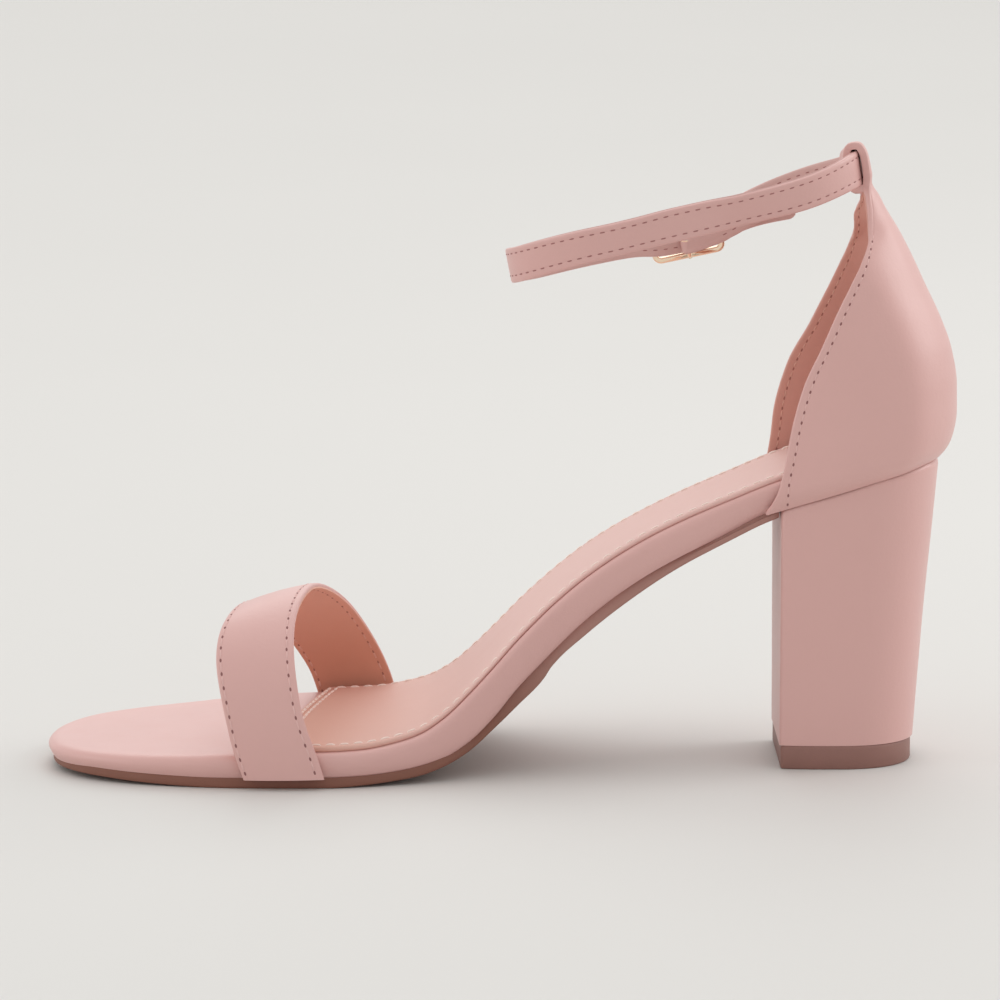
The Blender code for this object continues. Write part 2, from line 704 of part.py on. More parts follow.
def strap_path(count):
    """Points, lean and thickness along the strap, from its folded end to its free tip."""
    rows = [woven(weave) for weave in OWN_END]
    wrap = PIVOT_RADIUS + FOLD_CLEARANCE + FOLD_THICKNESS / 2
    for angle in np.radians(np.linspace(90, 270, 7)):
        spot = at_buckle(wrap * np.cos(angle), -PIVOT_DEPTH + wrap * np.sin(angle), FOLD_UP)
        rows.append((*spot, BUCKLE_LEAN, FOLD_THICKNESS))
    rows += [woven(weave) for weave in OWN_LEAVES]
    rows += [(*turn, STRAP_THICKNESS) for turn in OWN_RUN + MEDIAL_RUN]
    rows += [woven(weave) for weave in FREE_END]
    fine = through(rows, FINE_ROWS)
    turned = np.linalg.norm(np.diff(fine[:, :3], n=2, axis=0), axis=1)
    density = STRAP_EVEN + STRAP_BEND * np.append(turned, 0.0)
    want = np.concatenate([[0], np.cumsum(density)])
    number = np.arange(FINE_ROWS)
    pick = np.interp(np.linspace(0, want[-1], count), want, number)
    return np.stack([np.interp(pick, number, fine[:, k]) for k in range(fine.shape[1])], 1)


def strap_frames(path):
    """For each point of the path: the ways along its width and through its thickness."""
    spots = path[:, :3]
    ahead = np.gradient(spots, axis=0)
    ahead /= np.linalg.norm(ahead, axis=1)[:, None]
    away = np.hypot(*(spots - np.array(BUCKLE_AT))[:, [0, 2]].T)
    near = 1 - blend(away, BUCKLE_REACH)[:, None]
    rise = np.array([0.0, 0.0, 1.0]) * (1 - near) + buckle_axes()[3] * near
    rise = rise - ahead * (rise * ahead).sum(1)[:, None]
    rise /= np.linalg.norm(rise, axis=1)[:, None]
    inward = np.cross(ahead, rise)
    tilt = np.radians(path[:, 3])[:, None] * (1 - near)
    width_way = rise * np.cos(tilt) + inward * np.sin(tilt)
    return width_way, np.cross(ahead, width_way)


def strap():
    path = strap_path(STRAP_ROWS)
    width_way, thick_way = strap_frames(path)
    run = np.concatenate([[0], np.cumsum(np.linalg.norm(np.diff(path[:, :3], axis=0), axis=1))])
    loops = []
    for k, spot in enumerate(path[:, :3]):
        tip = min((run[-1] - run[k]) / STRAP_TIP, 1)
        tall = STRAP_WIDTH / 2 * np.sqrt(max(1 - (1 - tip) ** 2, STRAP_BLUNT)) * width_way[k]
        deep = path[k, 4] / 2 * thick_way[k]
        loops.append([spot + corner.width * tall + corner.thickness * deep for corner in STRAP_SECTION])
    return loft(loops, [(1, 0), (2, 7), (3, 6), (4, 5)])


def loop_tube():
    """The tube at the top of the counter that the ankle strap runs through."""
    path = strap_path(FINE_ROWS)
    width_way, thick_way = strap_frames(path)
    spots = path[:, :3]
    run = np.concatenate([[0], np.cumsum(np.linalg.norm(np.diff(spots, axis=0), axis=1))])
    centre = run[np.argmin(np.linalg.norm(spots - np.array(LOOP_POINT[:3]), axis=1))]
    angle = np.linspace(0, 2 * np.pi, LOOP_SIDES, endpoint=False)
    tall_way, deep_way = [np.sign(a) * abs(a) ** LOOP_SQUARE for a in (np.sin(angle), np.cos(angle))]
    steps = np.linspace(-LOOP_WIDTH / 2, LOOP_WIDTH / 2, LOOP_STEPS)
    rings = []
    for wall, step in [(0.0, step) for step in steps] + [(LOOP_WALL, step) for step in steps[::-1]]:
        k = np.argmin(abs(run - centre - step))
        tall = (STRAP_WIDTH / 2 + LOOP_CLEARANCE + wall) * tall_way
        deep = (STRAP_THICKNESS / 2 + LOOP_CLEARANCE + wall) * deep_way
        rings.append(spots[k] + np.outer(tall, width_way[k]) + np.outer(deep, thick_way[k]))
    return loft(rings, None, closed=True)


def cutter(name, cut, look):
    """A box for one of the cuts at the buckle."""
    loops = []
    for along in cut.along:
        low, high = cut.out
        corners = ((low, cut.rise[0]), (low, cut.rise[1]), (high, cut.rise[1]), (high, cut.rise[0]))
        loops.append([at_buckle(along, out, rise) for out, rise in corners])
    return solid(name, loft(loops, [(0, 1), (3, 2)]), look)


def bar(path, radius_a, radius_b, way_a, way_b, sides=BAR_SIDES, closed=False):
    """A bar of oval section along a path, with its two section directions for each point."""
    angle = (np.arange(sides) + 0.5) * 2 * np.pi / sides
    loops = []
    for spot, a, b in zip(path, way_a, way_b):
        loops.append([spot + radius_a * np.cos(t) * a + radius_b * np.sin(t) * b for t in angle])
    half = sides // 2
    return loft(loops, [(k, sides - 1 - k) for k in range(half)], closed=closed)


def buckle(look):
    centre, along, out, rise = buckle_axes()
    long_half = (BUCKLE_LENGTH - BUCKLE_BAR) / 2
    tall_half = (BUCKLE_HEIGHT - BUCKLE_BAR) / 2
    corner = BUCKLE_CORNER
    path, side = [], []
    for a, r, start in ((1, 1, 0), (-1, 1, 90), (-1, -1, 180), (1, -1, 270)):
        for turn in np.radians(start + np.linspace(0, 90, 4)):
            way = np.cos(turn) * along + np.sin(turn) * rise
            path.append(at_buckle(a * (long_half - corner), 0, r * (tall_half - corner)) + corner * way)
            side.append(way)
    ring = bar(path, BUCKLE_BAR / 2, BUCKLE_DEPTH / 2, side, [out] * len(path), closed=True)
    frame = solid("buckle_frame", ring, look)
    post = ((0.1, tall_half), (-1.9, tall_half), (-2.4, tall_half - 0.08), (-PIVOT_DEPTH, tall_half - 0.35))
    way = [at_buckle(0, deep, tall) for deep, tall in post]
    way += [at_buckle(0, deep, -tall) for deep, tall in post[::-1]]
    step = np.gradient(np.array(way), axis=0)
    normal = np.cross(step, along)
    normal /= np.linalg.norm(normal, axis=1)[:, None]
    pivot = bar(way, PIVOT_RADIUS, PIVOT_RADIUS, [along] * len(way), normal)
    join(frame, solid("pivot", pivot, look), "UNION")
    return frame


def prong(look):
    rise = buckle_axes()[3]
    turn = PIVOT_RADIUS + PRONG_CLEARANCE + PRONG_RADIUS
    flat = []
    for angle in np.radians(np.linspace(*PRONG_TURN)):
        flat.append(Prong(turn * np.cos(angle), turn * np.sin(angle) - PIVOT_DEPTH))
    flat = through([(row.along, row.out, 0.0) for row in flat + PRONG], PRONG_ROWS)
    path = [at_buckle(along, out) for along, out, _ in flat]
    normal = np.cross(np.gradient(np.array(path), axis=0), rise)
    normal /= np.linalg.norm(normal, axis=1)[:, None]
    needle = bar(path, PRONG_RADIUS, PRONG_RADIUS, [rise] * len(path), normal, PRONG_SIDES)
    return solid("buckle_prong", needle, look)


blush = material("blush_leather", (0.76, 0.50, 0.47), 0.42)
heel_cover = material("heel_cover", (0.76, 0.50, 0.47), 0.40)
insole = material("sock_leather", (0.73, 0.43, 0.35), 0.48)
brown = material("outsole_rubber", (0.21, 0.085, 0.06), 0.6)
lift_brown = material("lift_rubber", (0.22, 0.12, 0.10), 0.55)
gold = material("rose_gold", (0.87, 0.63, 0.46), 0.25, 1.0)

solid("outsole", outsole(), brown)
solid("board", board(), blush)
solid("sock", sock(), insole)
solid("heel_block", heel(), heel_cover)
solid("heel_lift", lift(), lift_brown)
solid("vamp_strap", vamp(), blush)
cup = solid("counter", counter(), blush)
join(cup, solid("loop", loop_tube(), blush), "UNION")
ankle = solid("ankle_strap", strap(), blush)
join(ankle, cutter("slot", PRONG_SLOT, blush), "DIFFERENCE")
join(ankle, cutter("hole", PRONG_HOLE, blush), "DIFFERENCE")
buckle(gold)
prong(gold)
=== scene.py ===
import collections

import bmesh
import bpy
import numpy as np
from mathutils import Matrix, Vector


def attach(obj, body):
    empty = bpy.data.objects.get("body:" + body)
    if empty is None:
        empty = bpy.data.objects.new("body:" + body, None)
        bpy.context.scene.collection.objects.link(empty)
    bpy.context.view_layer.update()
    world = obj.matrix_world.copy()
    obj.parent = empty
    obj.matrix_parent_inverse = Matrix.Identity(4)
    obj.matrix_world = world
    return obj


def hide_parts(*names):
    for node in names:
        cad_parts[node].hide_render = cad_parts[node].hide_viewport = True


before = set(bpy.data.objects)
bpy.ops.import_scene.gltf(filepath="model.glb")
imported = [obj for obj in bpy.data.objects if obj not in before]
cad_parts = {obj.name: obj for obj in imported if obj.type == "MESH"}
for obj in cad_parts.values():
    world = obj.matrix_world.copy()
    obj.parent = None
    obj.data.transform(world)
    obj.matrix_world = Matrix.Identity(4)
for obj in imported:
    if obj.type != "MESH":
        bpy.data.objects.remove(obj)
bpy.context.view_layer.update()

# The tables hold millimetres. Station runs from the toe tip to the heel, y to the lateral side and z up.
MM = 0.001
BODY = "root"
UP = (0, 0, 1)
BACKWARDS = (1, 0, 0)

# Sole, in millimetres
LENGTH = 230
MIDDLE = LENGTH / 2
BOARD_LENGTH = 222.5
BREAST_STATION = 184.6
BREAST_SLACK = 0.01
TREAD_SKEW = 0.04
SEAT_DISH = 1
WAIST_CROWN = 1.5
TOE_DROP = 0.35
TOE_THINNER = 0.25
TOE_SOFTER = 0.7
OUTSOLE_INSET = 1.2
TOE_INSET_LESS = 0.5
SHANK_INSET_MORE = 1.2
SEAT_INSET_MORE = 1.4
SEATED = 0.25
SOCK_THICKNESS = 1.5
SOCK_INSET = 2.2
SOCK_SEAM = 1.9
SOCK_FRONT_SEAMS = (1.3, 3)
SOCK_FRONT_BULGE = 2
SOCK_FRONT_MEDIAL, SOCK_FRONT_MIDDLE, SOCK_FRONT_LATERAL = 55.5, 61.2, 69.2
SOCK_SKEW_SHARE = 0.6

# Stretches of the sole, as first and last stations
TOE_TIP = 0.7
TOE_ROUND = 28
SEAT_ROUND = 200
TOE_THIN = (0, 60)
TOE_SOFT = (35, 80)
BOARD_SEAT = (160, 181)
SEAT_HOLLOW = (130, 190)
WAIST_BEGINS = (100, 130)
WAIST_ENDS = (165, 184)
TOE_TUCK = (0, 14)
SHANK_TUCK = (95, 120)
SEAT_TUCK = (165, BREAST_STATION)
SHANK_STEP = (126.8, 128)

# Heel
LIFT_HEIGHT = 6
LIFT_PROUD = 0.35
LIFT_SET_BACK = 0.3
LIFT_SHORT = 0.9
HEEL_FRONT_CORNER = 1
HEEL_SIDE_WIDTH = 0.955
HEEL_ROUND_SHARE = 0.55
HEEL_ROUND_POWER = 0.9

# Vamp strap and counter; a span is a pair of shares of the sheet's length or height
LEATHER = 1
LINING = 0.58
LAYER_GAP = 0.02
VAMP_CROWN = 0.7
VAMP_SEAMS = (1.15, 1.9)
VAMP_STITCHED = (0.014, 0.986)
COUNTER_LEATHER = 1.25
COUNTER_LINING = 0.65
COUNTER_LINING_SUNK = 0.05
COUNTER_TOP = 0.97
COUNTER_CROWDED = 1.8
COUNTER_SAG = 1.15
COUNTER_SEAM = 2.3
COUNTER_SEAM_BASE = 4.8
COUNTER_SEAM_BENDS = (0.02, 0.24)
COUNTER_STITCHED = (0.02, 0.64)
LINING_SPAN = (0.08, 0.735)
SEAT_WIDEN = 1.11
SEAT_STRETCH = 0.93

# Ankle strap and its loop on the counter, with angles in degrees
STRAP_WIDTH = 8.8
STRAP_THICKNESS = 1.6
STRAP_SEAMS = (1.85, 1.45)
STRAP_MIDDLE = (-1.1, 0, 1.1)
STRAP_STITCHED_FROM = 13
TIP_LENGTH = 2.2
TIP_NARROWS = 0.22
TIP_POWER = 2.5
FOLD_THICKNESS = 0.9
FOLD_CLEARANCE = 0.2
FOLD_UP = -0.1
FOLD_NARROWS = 0.22
FOLD_WIDENS = (11, 20)
LOOP_WIDTH = 9.4
LOOP_ABOVE = 6.75
LOOP_BELOW = 6.1
LOOP_FAR_LOWER = 0.12
LOOP_HALF_DEPTH = 3.3
LOOP_ROUND = 0.72
LOOP_TURN = (-38, 292)
LOOP_THICKER = 0.55
LOOP_STARTS = (0.68, 0.76)

# Buckle
BUCKLE_AT = (162.7, 23.7, 130.4)
BUCKLE_PITCH = 11.8
BUCKLE_LEAN = 15
BUCKLE_LENGTH = 18.8
BUCKLE_HEIGHT = 12.7
BUCKLE_BAR = 1.6
BUCKLE_DEPTH = 1.24
BUCKLE_CORNER = 1.5
BUCKLE_SQUARE = 0.55
BUCKLE_REACH = (9, 16)
PIVOT_RADIUS = 0.63
PIVOT_DEPTH = 2.6
PIVOT_INSIDE = 0.35
PRONG_RADIUS = 0.5
PRONG_CLEARANCE = 0.15

# How finely the surfaces are divided
STATION_STEP = 1.6
TOE_STEPS = 24
SEAT_STEPS = 18
EDGE_ROWS = 18
TOP_COLUMNS = 24
OUTSOLE_TOP_COLUMNS = 2
SOCK_CORNER_STATIONS = 4
HEEL_ROWS = 16
HEEL_BACK_POINTS = 26
HEEL_TOP_COLUMNS = 6
COUNTER_COARSE = 30
LOOP_COARSE = 19
COUNTER_ROWS = 120
COUNTER_MIDDLE = 26
ROW_FINE = 160
VAMP_ROWS = 150
VAMP_MIDDLE = 7
STRAP_ROWS = 560
FINE_ROWS = 1200
CURVE_STEPS = 2000
STRAP_EVEN = 0.35
STRAP_BEND = 60
BAR_SIDES = 16
THREAD_SIDES = 8
HOLE_SIDES = 12
CORNER_STEPS = 7
PRONG_ROWS = 60
SHARP_ANGLE = 48
WELD_DISTANCE = 1e-7
PROBE = 0.5
LEAST_HALF = 1
LEAST_GAP = 1e-6
SHARPEST_JOINT = 0.9


def table(fields, *rows):
    """Rows of named values."""
    kind = collections.namedtuple("Row", fields)
    return [kind(*row) for row in rows]


# Outline of the covered board, seen from above
PLAN = table(
    "station medial lateral",
    (TOE_TIP, -7, -7), (3, -19.3, 7.6), (12, -30.3, 22.8), (28, -37.7, 32.8),
    (50, -41.4, 39.7), (72, -42, 42.3), (92, -37.8, 42.5), (112, -29.8, 38.3),
    (132, -22.9, 31.2), (154, -20, 26.3), (176, -21.3, 24.6), (196, -23.5, 24.2),
    (210, -21.4, 21.6), (219, -12.4, 12.6), (BOARD_LENGTH, 0, 0),
)
# Heights along the centre line: under the outsole, under the board and at the board's upper edge
SIDE = table(
    "station sole board top",
    (0, 1.5, 3.2, 7.2), (12, 1.35, 3.2, 7.25), (24, 0.8, 2.9, 7.45), (36, 0.25, 2.55, 7.8),
    (44, 0, 2.4, 8.2), (58, 0, 2.4, 8.7), (72, 0, 2.5, 8.9), (82, 0.5, 2.75, 9.3),
    (90, 1.2, 3.4, 10.6), (96, 2.1, 4.4, 12.4), (102, 3.9, 6.2, 16), (108, 7.1, 9.6, 21.4),
    (114, 12.2, 15.2, 27.6), (120, 17.8, 22.3, 34.1),
    (SHANK_STEP[0], 24.6, 29.1, 40.7), (SHANK_STEP[1], 26.6, 30.3, 41.8),
    (137, 35, 38.7, 49.2), (149, 44.2, 47.6, 57), (161, 52.1, 54.6, 63.3),
    (173, 58.5, 60.4, 68.7), (185, 64, 66.2, 73.8), (198, 68, 70.4, 78),
    (212, 71.9, 74.5, 81.6), (BOARD_LENGTH, 74.3, 77.1, 84),
)
# Rings round the covered board's edge: how far in at the toe and at the seat, and the height
BOARD_RINGS = table(
    "toe seat base rise",
    (1.2, 4.5, "low", 0), (0.3, 1.9, "low", 2), (0, 0.9, "high", -2.3), (0.25, 0.95, "high", -1.15),
    (0.75, 1.3, "high", -0.42), (1.6, 2.1, "high", -0.05), (2.6, 2.9, "high", 0),
)
# Rows up the outsole's edge: how far in from its outline, how much more along the shank, and the height
OUTSOLE_ROWS = table(
    "inside shank base rise",
    (0.5, 0, "low", 0), (0.15, 0, "low", 0.12), (0, 0, "low", 0.4), (0, 0, "low", 0.95),
    (0, 0.05, "low", 1.5), (0.02, 0.5, "high", -0.6), (0.1, 0.7, "high", SEATED),
)
# Rings round the sock's edge: how far in from its outline, and how high above the board
SOCK_LIP = table(
    "inside rise",
    (0.5, -0.1), (0.1, 0.2), (0, 0.55), (0, 0.95), (0.15, 1.22), (0.45, 1.42), (0.9, SOCK_THICKNESS),
    (SOCK_SEAM - 0.45, 1.47), (SOCK_SEAM, 1.27), (SOCK_SEAM + 0.45, 1.47), (SOCK_SEAM + 1.2, SOCK_THICKNESS),
)
# Edges of the vamp strap's outer face, from the medial to the lateral base: station, y and z
VAMP_FRONT = (
    (50.6, -43.4, 2.6), (48.2, -43.2, 9.5), (46.3, -42.5, 17.5), (44.8, -40.8, 25), (43.9, -37.2, 31.6),
    (44.4, -31.2, 37), (46.3, -22, 40.3), (49, -10, 41), (52.2, 2, 39.2), (55, 13.5, 35.4),
    (58.4, 24.2, 30), (61.9, 33, 23.2), (65.6, 39.4, 16), (67.9, 43, 9.2), (69.6, 44.2, 2.7),
)
VAMP_REAR = (
    (70.8, -44, 2.8), (68.7, -43.9, 9.5), (66, -43.1, 17), (64.4, -41, 24.5), (63.5, -37.2, 31.2),
    (63.3, -31, 37.2), (64.2, -21.2, 42.2), (66.4, -8.5, 44.8), (69, 4.5, 44), (72.6, 16, 40.6),
    (76.7, 26.4, 35.2), (80.7, 34.8, 28.2), (84.6, 40.8, 20.2), (87.8, 44.1, 11.6), (89.8, 44.6, 3.6),
)
# Sections of the counter: the point on the back seam, the front edge and the width against the seat
COUNTER = table(
    "back_u back_z front_u front_z width lateral_more",
    (226.6, 77.9, 181.2, 65.2, 0.89, 0.3), (228.2, 79.9, 182.6, 67.8, 0.955, 0.3),
    (229.5, 83, 184, 71.4, 0.995, 0.4), (230.4, 89, 185.6, 78, 1, 0.8),
    (230.3, 96.3, 187.2, 87, 0.985, 1.3), (228.9, 104.6, 190.2, 98, 0.955, 1),
    (225.9, 112.9, 194.6, 107.6, 0.92, 0.2), (222.2, 120.7, 198.4, 115.8, 0.885, 0),
    (218.6, 128.4, 202.4, 123.6, 0.85, 0.5), (215.2, 134.9, 205.5, 130, 0.8, 1.2),
    (212.2, 139.8, 207, 134.8, 0.7, 1.9), (209.2, 145.5, 207.3, 142.4, 0.6, 1.7),
)
# Heel block from the ground up to the seat
HEEL = table(
    "share front back half_width",
    (0, 185.1, 219.9, 19.3), (0.25, 185.1, 221.2, 19.8), (0.5, 185.1, 222.6, 20.6),
    (0.75, 185.1, 224.3, 21.7), (1, 185.1, 225.9, 22.9),
)
# The heel's sides in plan, from its round back: share of their length, and of the half-width
HEEL_SIDES = np.array([(0.75, 0.999), (0.5, 0.993), (0.25, 0.978)])
# The heel's upper rim: share of its height, and how far in from its side
HEEL_RIM = [(0.976, 0), (0.984, 0.12), (0.991, 0.45), (0.996, 0.9), (1, 1.5)]
# Rows up the heel lift: height, and how far in from its widest outline
LIFT_ROWS = [(0, 0.4), (0.12, 0.15), (0.4, 0), (5.3, 0), (5.7, 0.12), (5.9, 0.35), (6.3, 0.5)]

# Middle line of the ankle strap: station, y, z and lean, the tilt of its upper edge towards the ankle
LOOP_POINT = (204.9, 0, 150.1, 11)
OWN_RUN = [(184.5, 19, 140.4, 7), (195.5, 15, 145, 8), (202.4, 8, 147.9, 9), LOOP_POINT]
MEDIAL_RUN = [
    (202.2, -8, 149.7, 2), (194.5, -15.8, 147, -11), (186, -19.6, 144.7, -18),
    (176, -22.2, 142.6, -24), (166, -23.1, 140.4, -25), (155, -23.2, 137.9, -23),
    (144, -22, 135, -20), (134, -19.4, 132.4, -18), (123.8, -12.8, 128.8, -14),
    (118.6, -4.4, 126.3, -11), (118.4, 4.6, 125.2, -11), (123.4, 12.8, 125, -8),
    (134.5, 19.2, 126.8, 0),
]
# The strap at the buckle: along the frame, outwards, up, and its thickness where it isn't the full one
OWN_END = [(3, -2.05, FOLD_UP, FOLD_THICKNESS), (1.3, -1.5, FOLD_UP, FOLD_THICKNESS)]
OWN_LEAVES = [(3, -3.9, 0.1, FOLD_THICKNESS), (6, -3.75, 0.8, 1.2), (10, -3.55, 2.4), (14.5, -3.4, 4.1)]
FREE_END = [
    (-15, -1.75, 2.2), (-11, -1.75, 1.7), (-8.2, -1.65, 1.1), (-4, -0.5, 0.2), (0, 0.2, -0.1),
    (4, -0.5, 0.2), (8.2, -1.65, 1.2), (12, -1.4, 2.4), (19, -1, 3.4), (28.4, -2.2, 3.8),
]
# Turns of the strap and the prong round the pivot bar: first angle, last angle and points
FOLD_TURN = (90, 270, 7)
PRONG_TURN = (-160, 90, 9)
# The prong's middle line after its turn: along the frame and outwards
PRONG = [(-1.1, -1.25), (-2.2, -0.35), (-3.2, 0.7), (-4.6, 1.35), (-6.5, 1.45), (-8.1, 1.3), (-9.6, 0.95)]
# The prong's taper: share of its length, and of its radius
PRONG_TAPER = [(0, 1), (0.75, 1), (0.97, 0.8), (1, 0.5)]
# Each post of the pivot bar: outwards from the frame's plane, and in towards the middle
PIVOT_POST = [(0.1, 0), (-1.9, 0), (-2.4, 0.08), (-PIVOT_DEPTH, 0.35)]

# Across a leather edge: distance in from the edge, and how far the surface lies under the full face
ROUNDED_EDGE = table("inside under", (0, 0.46), (0.05, 0.3), (0.16, 0.17), (0.36, 0.07), (0.7, 0))
SEAM_TROUGH = table("inside under", (-0.4, 0), (-0.2, 0.03), (0, 0.08), (0.2, 0.03), (0.4, 0))
SEAM_COLUMN = len(ROUNDED_EDGE) + len(SEAM_TROUGH) // 2
# Hidden side of a leather edge: most rounding, the depth where it begins, and its share on the lining
Roll = collections.namedtuple("Roll", "most begins lining")
VAMP_ROLL = Roll(0.3, 0.25, 0.5)
COUNTER_ROLL = Roll(0.3, 0.25, 0.6)
STRAP_ROLL = Roll(0.25, 0.22, 0.6)

# Stitches: step, length, thread radius, half-length of the needle hole between, and depth in the leather
Stitch = collections.namedtuple("Stitch", "pitch length radius hole sunk")
VAMP_STITCH = Stitch(3.6, 2.6, 0.24, 0.52, 0.22)
COUNTER_STITCH = Stitch(2.65, 1.9, 0.2, 0.45, 0.2)
STRAP_STITCH = Stitch(2.7, 1.65, 0.19, 0, 0.14)
STRAP_LINING_STITCH = STRAP_STITCH._replace(sunk=0.2)
SOCK_STITCH = Stitch(3.5, 2.8, 0.36, 0, 0.22)
# Half of a stitch from near its middle: share of its half-length, and of the thread's radius
THREAD_HALF = np.array([(0.2, 1), (0.6, 0.95), (0.86, 0.75), (1, 0.45)])
THREAD_RISE = 0.75
THREAD_FALL = 1.5
THREAD_FLAT = 0.85
HOLE_HALF_WIDTH = 0.27
HOLE_DOME = 0.05
HOLE_SUNK = 0.02
# Punched holes: radius, the prong's place at the buckle, and distances along the strap from it
PUNCH_RADIUS = 0.75
PUNCH_PLACE = (-2.6, -0.2, 0)
PUNCH_STEPS = (-11, -5.5, 0, 5.5, 11)


# Curves and surfaces


def column(rows, name):
    return np.array([getattr(row, name) for row in rows])


def slopes(xs, ys):
    """Slopes of a cubic through points that adds no bumps."""
    step = np.diff(xs)
    rise = np.diff(ys) / step
    out = np.empty(len(xs))
    out[0], out[-1] = rise[0], rise[-1]
    for i in range(1, len(xs) - 1):
        a, b = rise[i - 1], rise[i]
        if a * b <= 0:
            out[i] = 0.0
        else:
            wa = 2 * step[i] + step[i - 1]
            wb = step[i] + 2 * step[i - 1]
            out[i] = (wa + wb) / (wa / a + wb / b)
    return out


def smooth(x, xs, ys):
    """A smooth curve through (xs, ys), read at x."""
    xs, ys = np.asarray(xs, float), np.asarray(ys, float)
    x = np.clip(np.asarray(x, float), xs[0], xs[-1])
    i = np.clip(np.searchsorted(xs, x, side="right") - 1, 0, len(xs) - 2)
    step = xs[i + 1] - xs[i]
    t = (x - xs[i]) / step
    m = slopes(xs, ys)
    a = (1 + 2 * t) * (1 - t) ** 2 * ys[i] + t * (1 - t) ** 2 * step * m[i]
    return a + t * t * (3 - 2 * t) * ys[i + 1] + t * t * (t - 1) * step * m[i + 1]


def row_at(rows, places, where):
    """A table's row read between its own rows, by their places."""
    return rows[0]._make(float(smooth(where, places, column(rows, name))) for name in rows[0]._fields)


def length(rows):
    return np.linalg.norm(rows, axis=-1)


def run_of(points):
    """Distance along a line of points."""
    return np.append(0, np.cumsum(length(np.diff(points[:, :3], axis=0))))


def at_run(points, run, where):
    """Points of a line at distances along it."""
    return np.stack([np.interp(where, run, points[:, k]) for k in range(points.shape[1])], 1)


def through(points, count):
    """A curve through points of any number of columns, read at even steps."""
    points = np.asarray(points, float)
    gaps = np.sqrt(np.maximum(length(np.diff(points[:, :3], axis=0)), LEAST_GAP))
    run = np.append(0, np.cumsum(gaps))
    n = len(points)
    system, right = np.eye(n), np.zeros_like(points)
    for i in range(1, n - 1):
        a, b = run[i] - run[i - 1], run[i + 1] - run[i]
        system[i, i - 1:i + 2] = a, 2 * (a + b), b
        right[i] = 6 * ((points[i + 1] - points[i]) / b - (points[i] - points[i - 1]) / a)
    bend = np.linalg.solve(system, right)
    fine = np.linspace(0, run[-1], CURVE_STEPS)
    i = np.clip(np.searchsorted(run, fine, side="right") - 1, 0, n - 2)
    step = (run[i + 1] - run[i])[:, None]
    p = ((run[i + 1] - fine)[:, None]) / step
    q = 1 - p
    curve = p * points[i] + q * points[i + 1]
    curve += ((p ** 3 - p) * bend[i] + (q ** 3 - q) * bend[i + 1]) * step ** 2 / 6
    along = run_of(curve)
    return at_run(curve, along, np.linspace(0, along[-1], count))


def nose(u):
    """Stretches the stations at toe and heel, where the outline turns across."""
    u = np.clip(u, TOE_TIP, BOARD_LENGTH)
    return np.sqrt(u - TOE_TIP) - np.sqrt(BOARD_LENGTH - u)


def plan(u, side):
    return smooth(nose(u), nose(column(PLAN, "station")), column(PLAN, side))


def height(u, y, name):
    return smooth(u - TREAD_SKEW * y, column(SIDE, "station"), column(SIDE, name))


def blend(u, stretch):
    """Rises smoothly from 0 to 1 over a stretch."""
    start, end = stretch
    t = np.clip((u - start) / (end - start), 0, 1)
    return t * t * (3 - 2 * t)


def across(u, y):
    """Where y lies between the middle (0) and the edge (1) of the board."""
    medial, lateral = plan(u, "medial"), plan(u, "lateral")
    half = np.maximum((lateral - medial) / 2, LEAST_HALF)
    return np.clip((y - (medial + lateral) / 2) / half, -1, 1)


def top_of_board(u, y):
    return height(u, y, "top") - SEAT_DISH * blend(u, SEAT_HOLLOW) * (1 - across(u, y) ** 2)


def under_board(u, y):
    return height(u, y, "board")


def under_outsole(u, y):
    crown = WAIST_CROWN * blend(u, WAIST_BEGINS) * (1 - blend(u, WAIST_ENDS))
    return height(u, y, "sole") - crown * (1 - across(u, y) ** 2)


def lifted(surface, rise):
    """The same surface, higher by rise."""
    return lambda u, y: surface(u, y) + rise


def inset(loop, amount):
    """A closed loop moved inwards by an amount, or by one for each point."""
    ahead = np.roll(loop, -1, 0) - loop
    ahead /= length(ahead)[:, None]
    normal = np.stack([-ahead[:, 1], ahead[:, 0]], 1)
    joint = normal + np.roll(normal, 1, 0)
    joint /= np.maximum((joint * joint).sum(1), SHARPEST_JOINT)[:, None] / 2
    area = np.sum(loop[:, 0] * np.roll(loop[:, 1], -1) - loop[:, 1] * np.roll(loop[:, 0], -1))
    return loop + joint * np.sign(area) * np.broadcast_to(amount, len(loop))[:, None]


def raised(loop, surface, rise):
    return np.column_stack([loop, surface(loop[:, 0], loop[:, 1]) + rise])


def unit(rows):
    return rows / np.maximum(length(rows), LEAST_GAP)[..., None]


def grid_normals(grid, outside):
    """Normals of a grid of points, turned to the outside at its middle."""
    normal = unit(np.cross(np.gradient(grid, axis=0), np.gradient(grid, axis=1)))
    middle = normal[normal.shape[0] // 2, normal.shape[1] // 2]
    return normal if middle @ np.array(outside) > 0 else -normal


# Meshes


def strip(a, b):
    """Faces between two rows of point numbers."""
    if len(a) == len(b):
        return [(a[i], a[i + 1], b[i + 1], b[i]) for i in range(len(a) - 1)]
    last_a, last_b = len(a) - 1, len(b) - 1
    faces, i, j = [], 0, 0
    while i < last_a or j < last_b:
        if j == last_b or (i < last_a and (i + 1) * last_b <= (j + 1) * last_a):
            faces.append((a[i], a[i + 1], b[j]))
            i += 1
        else:
            faces.append((a[i], b[j + 1], b[j]))
            j += 1
    return faces


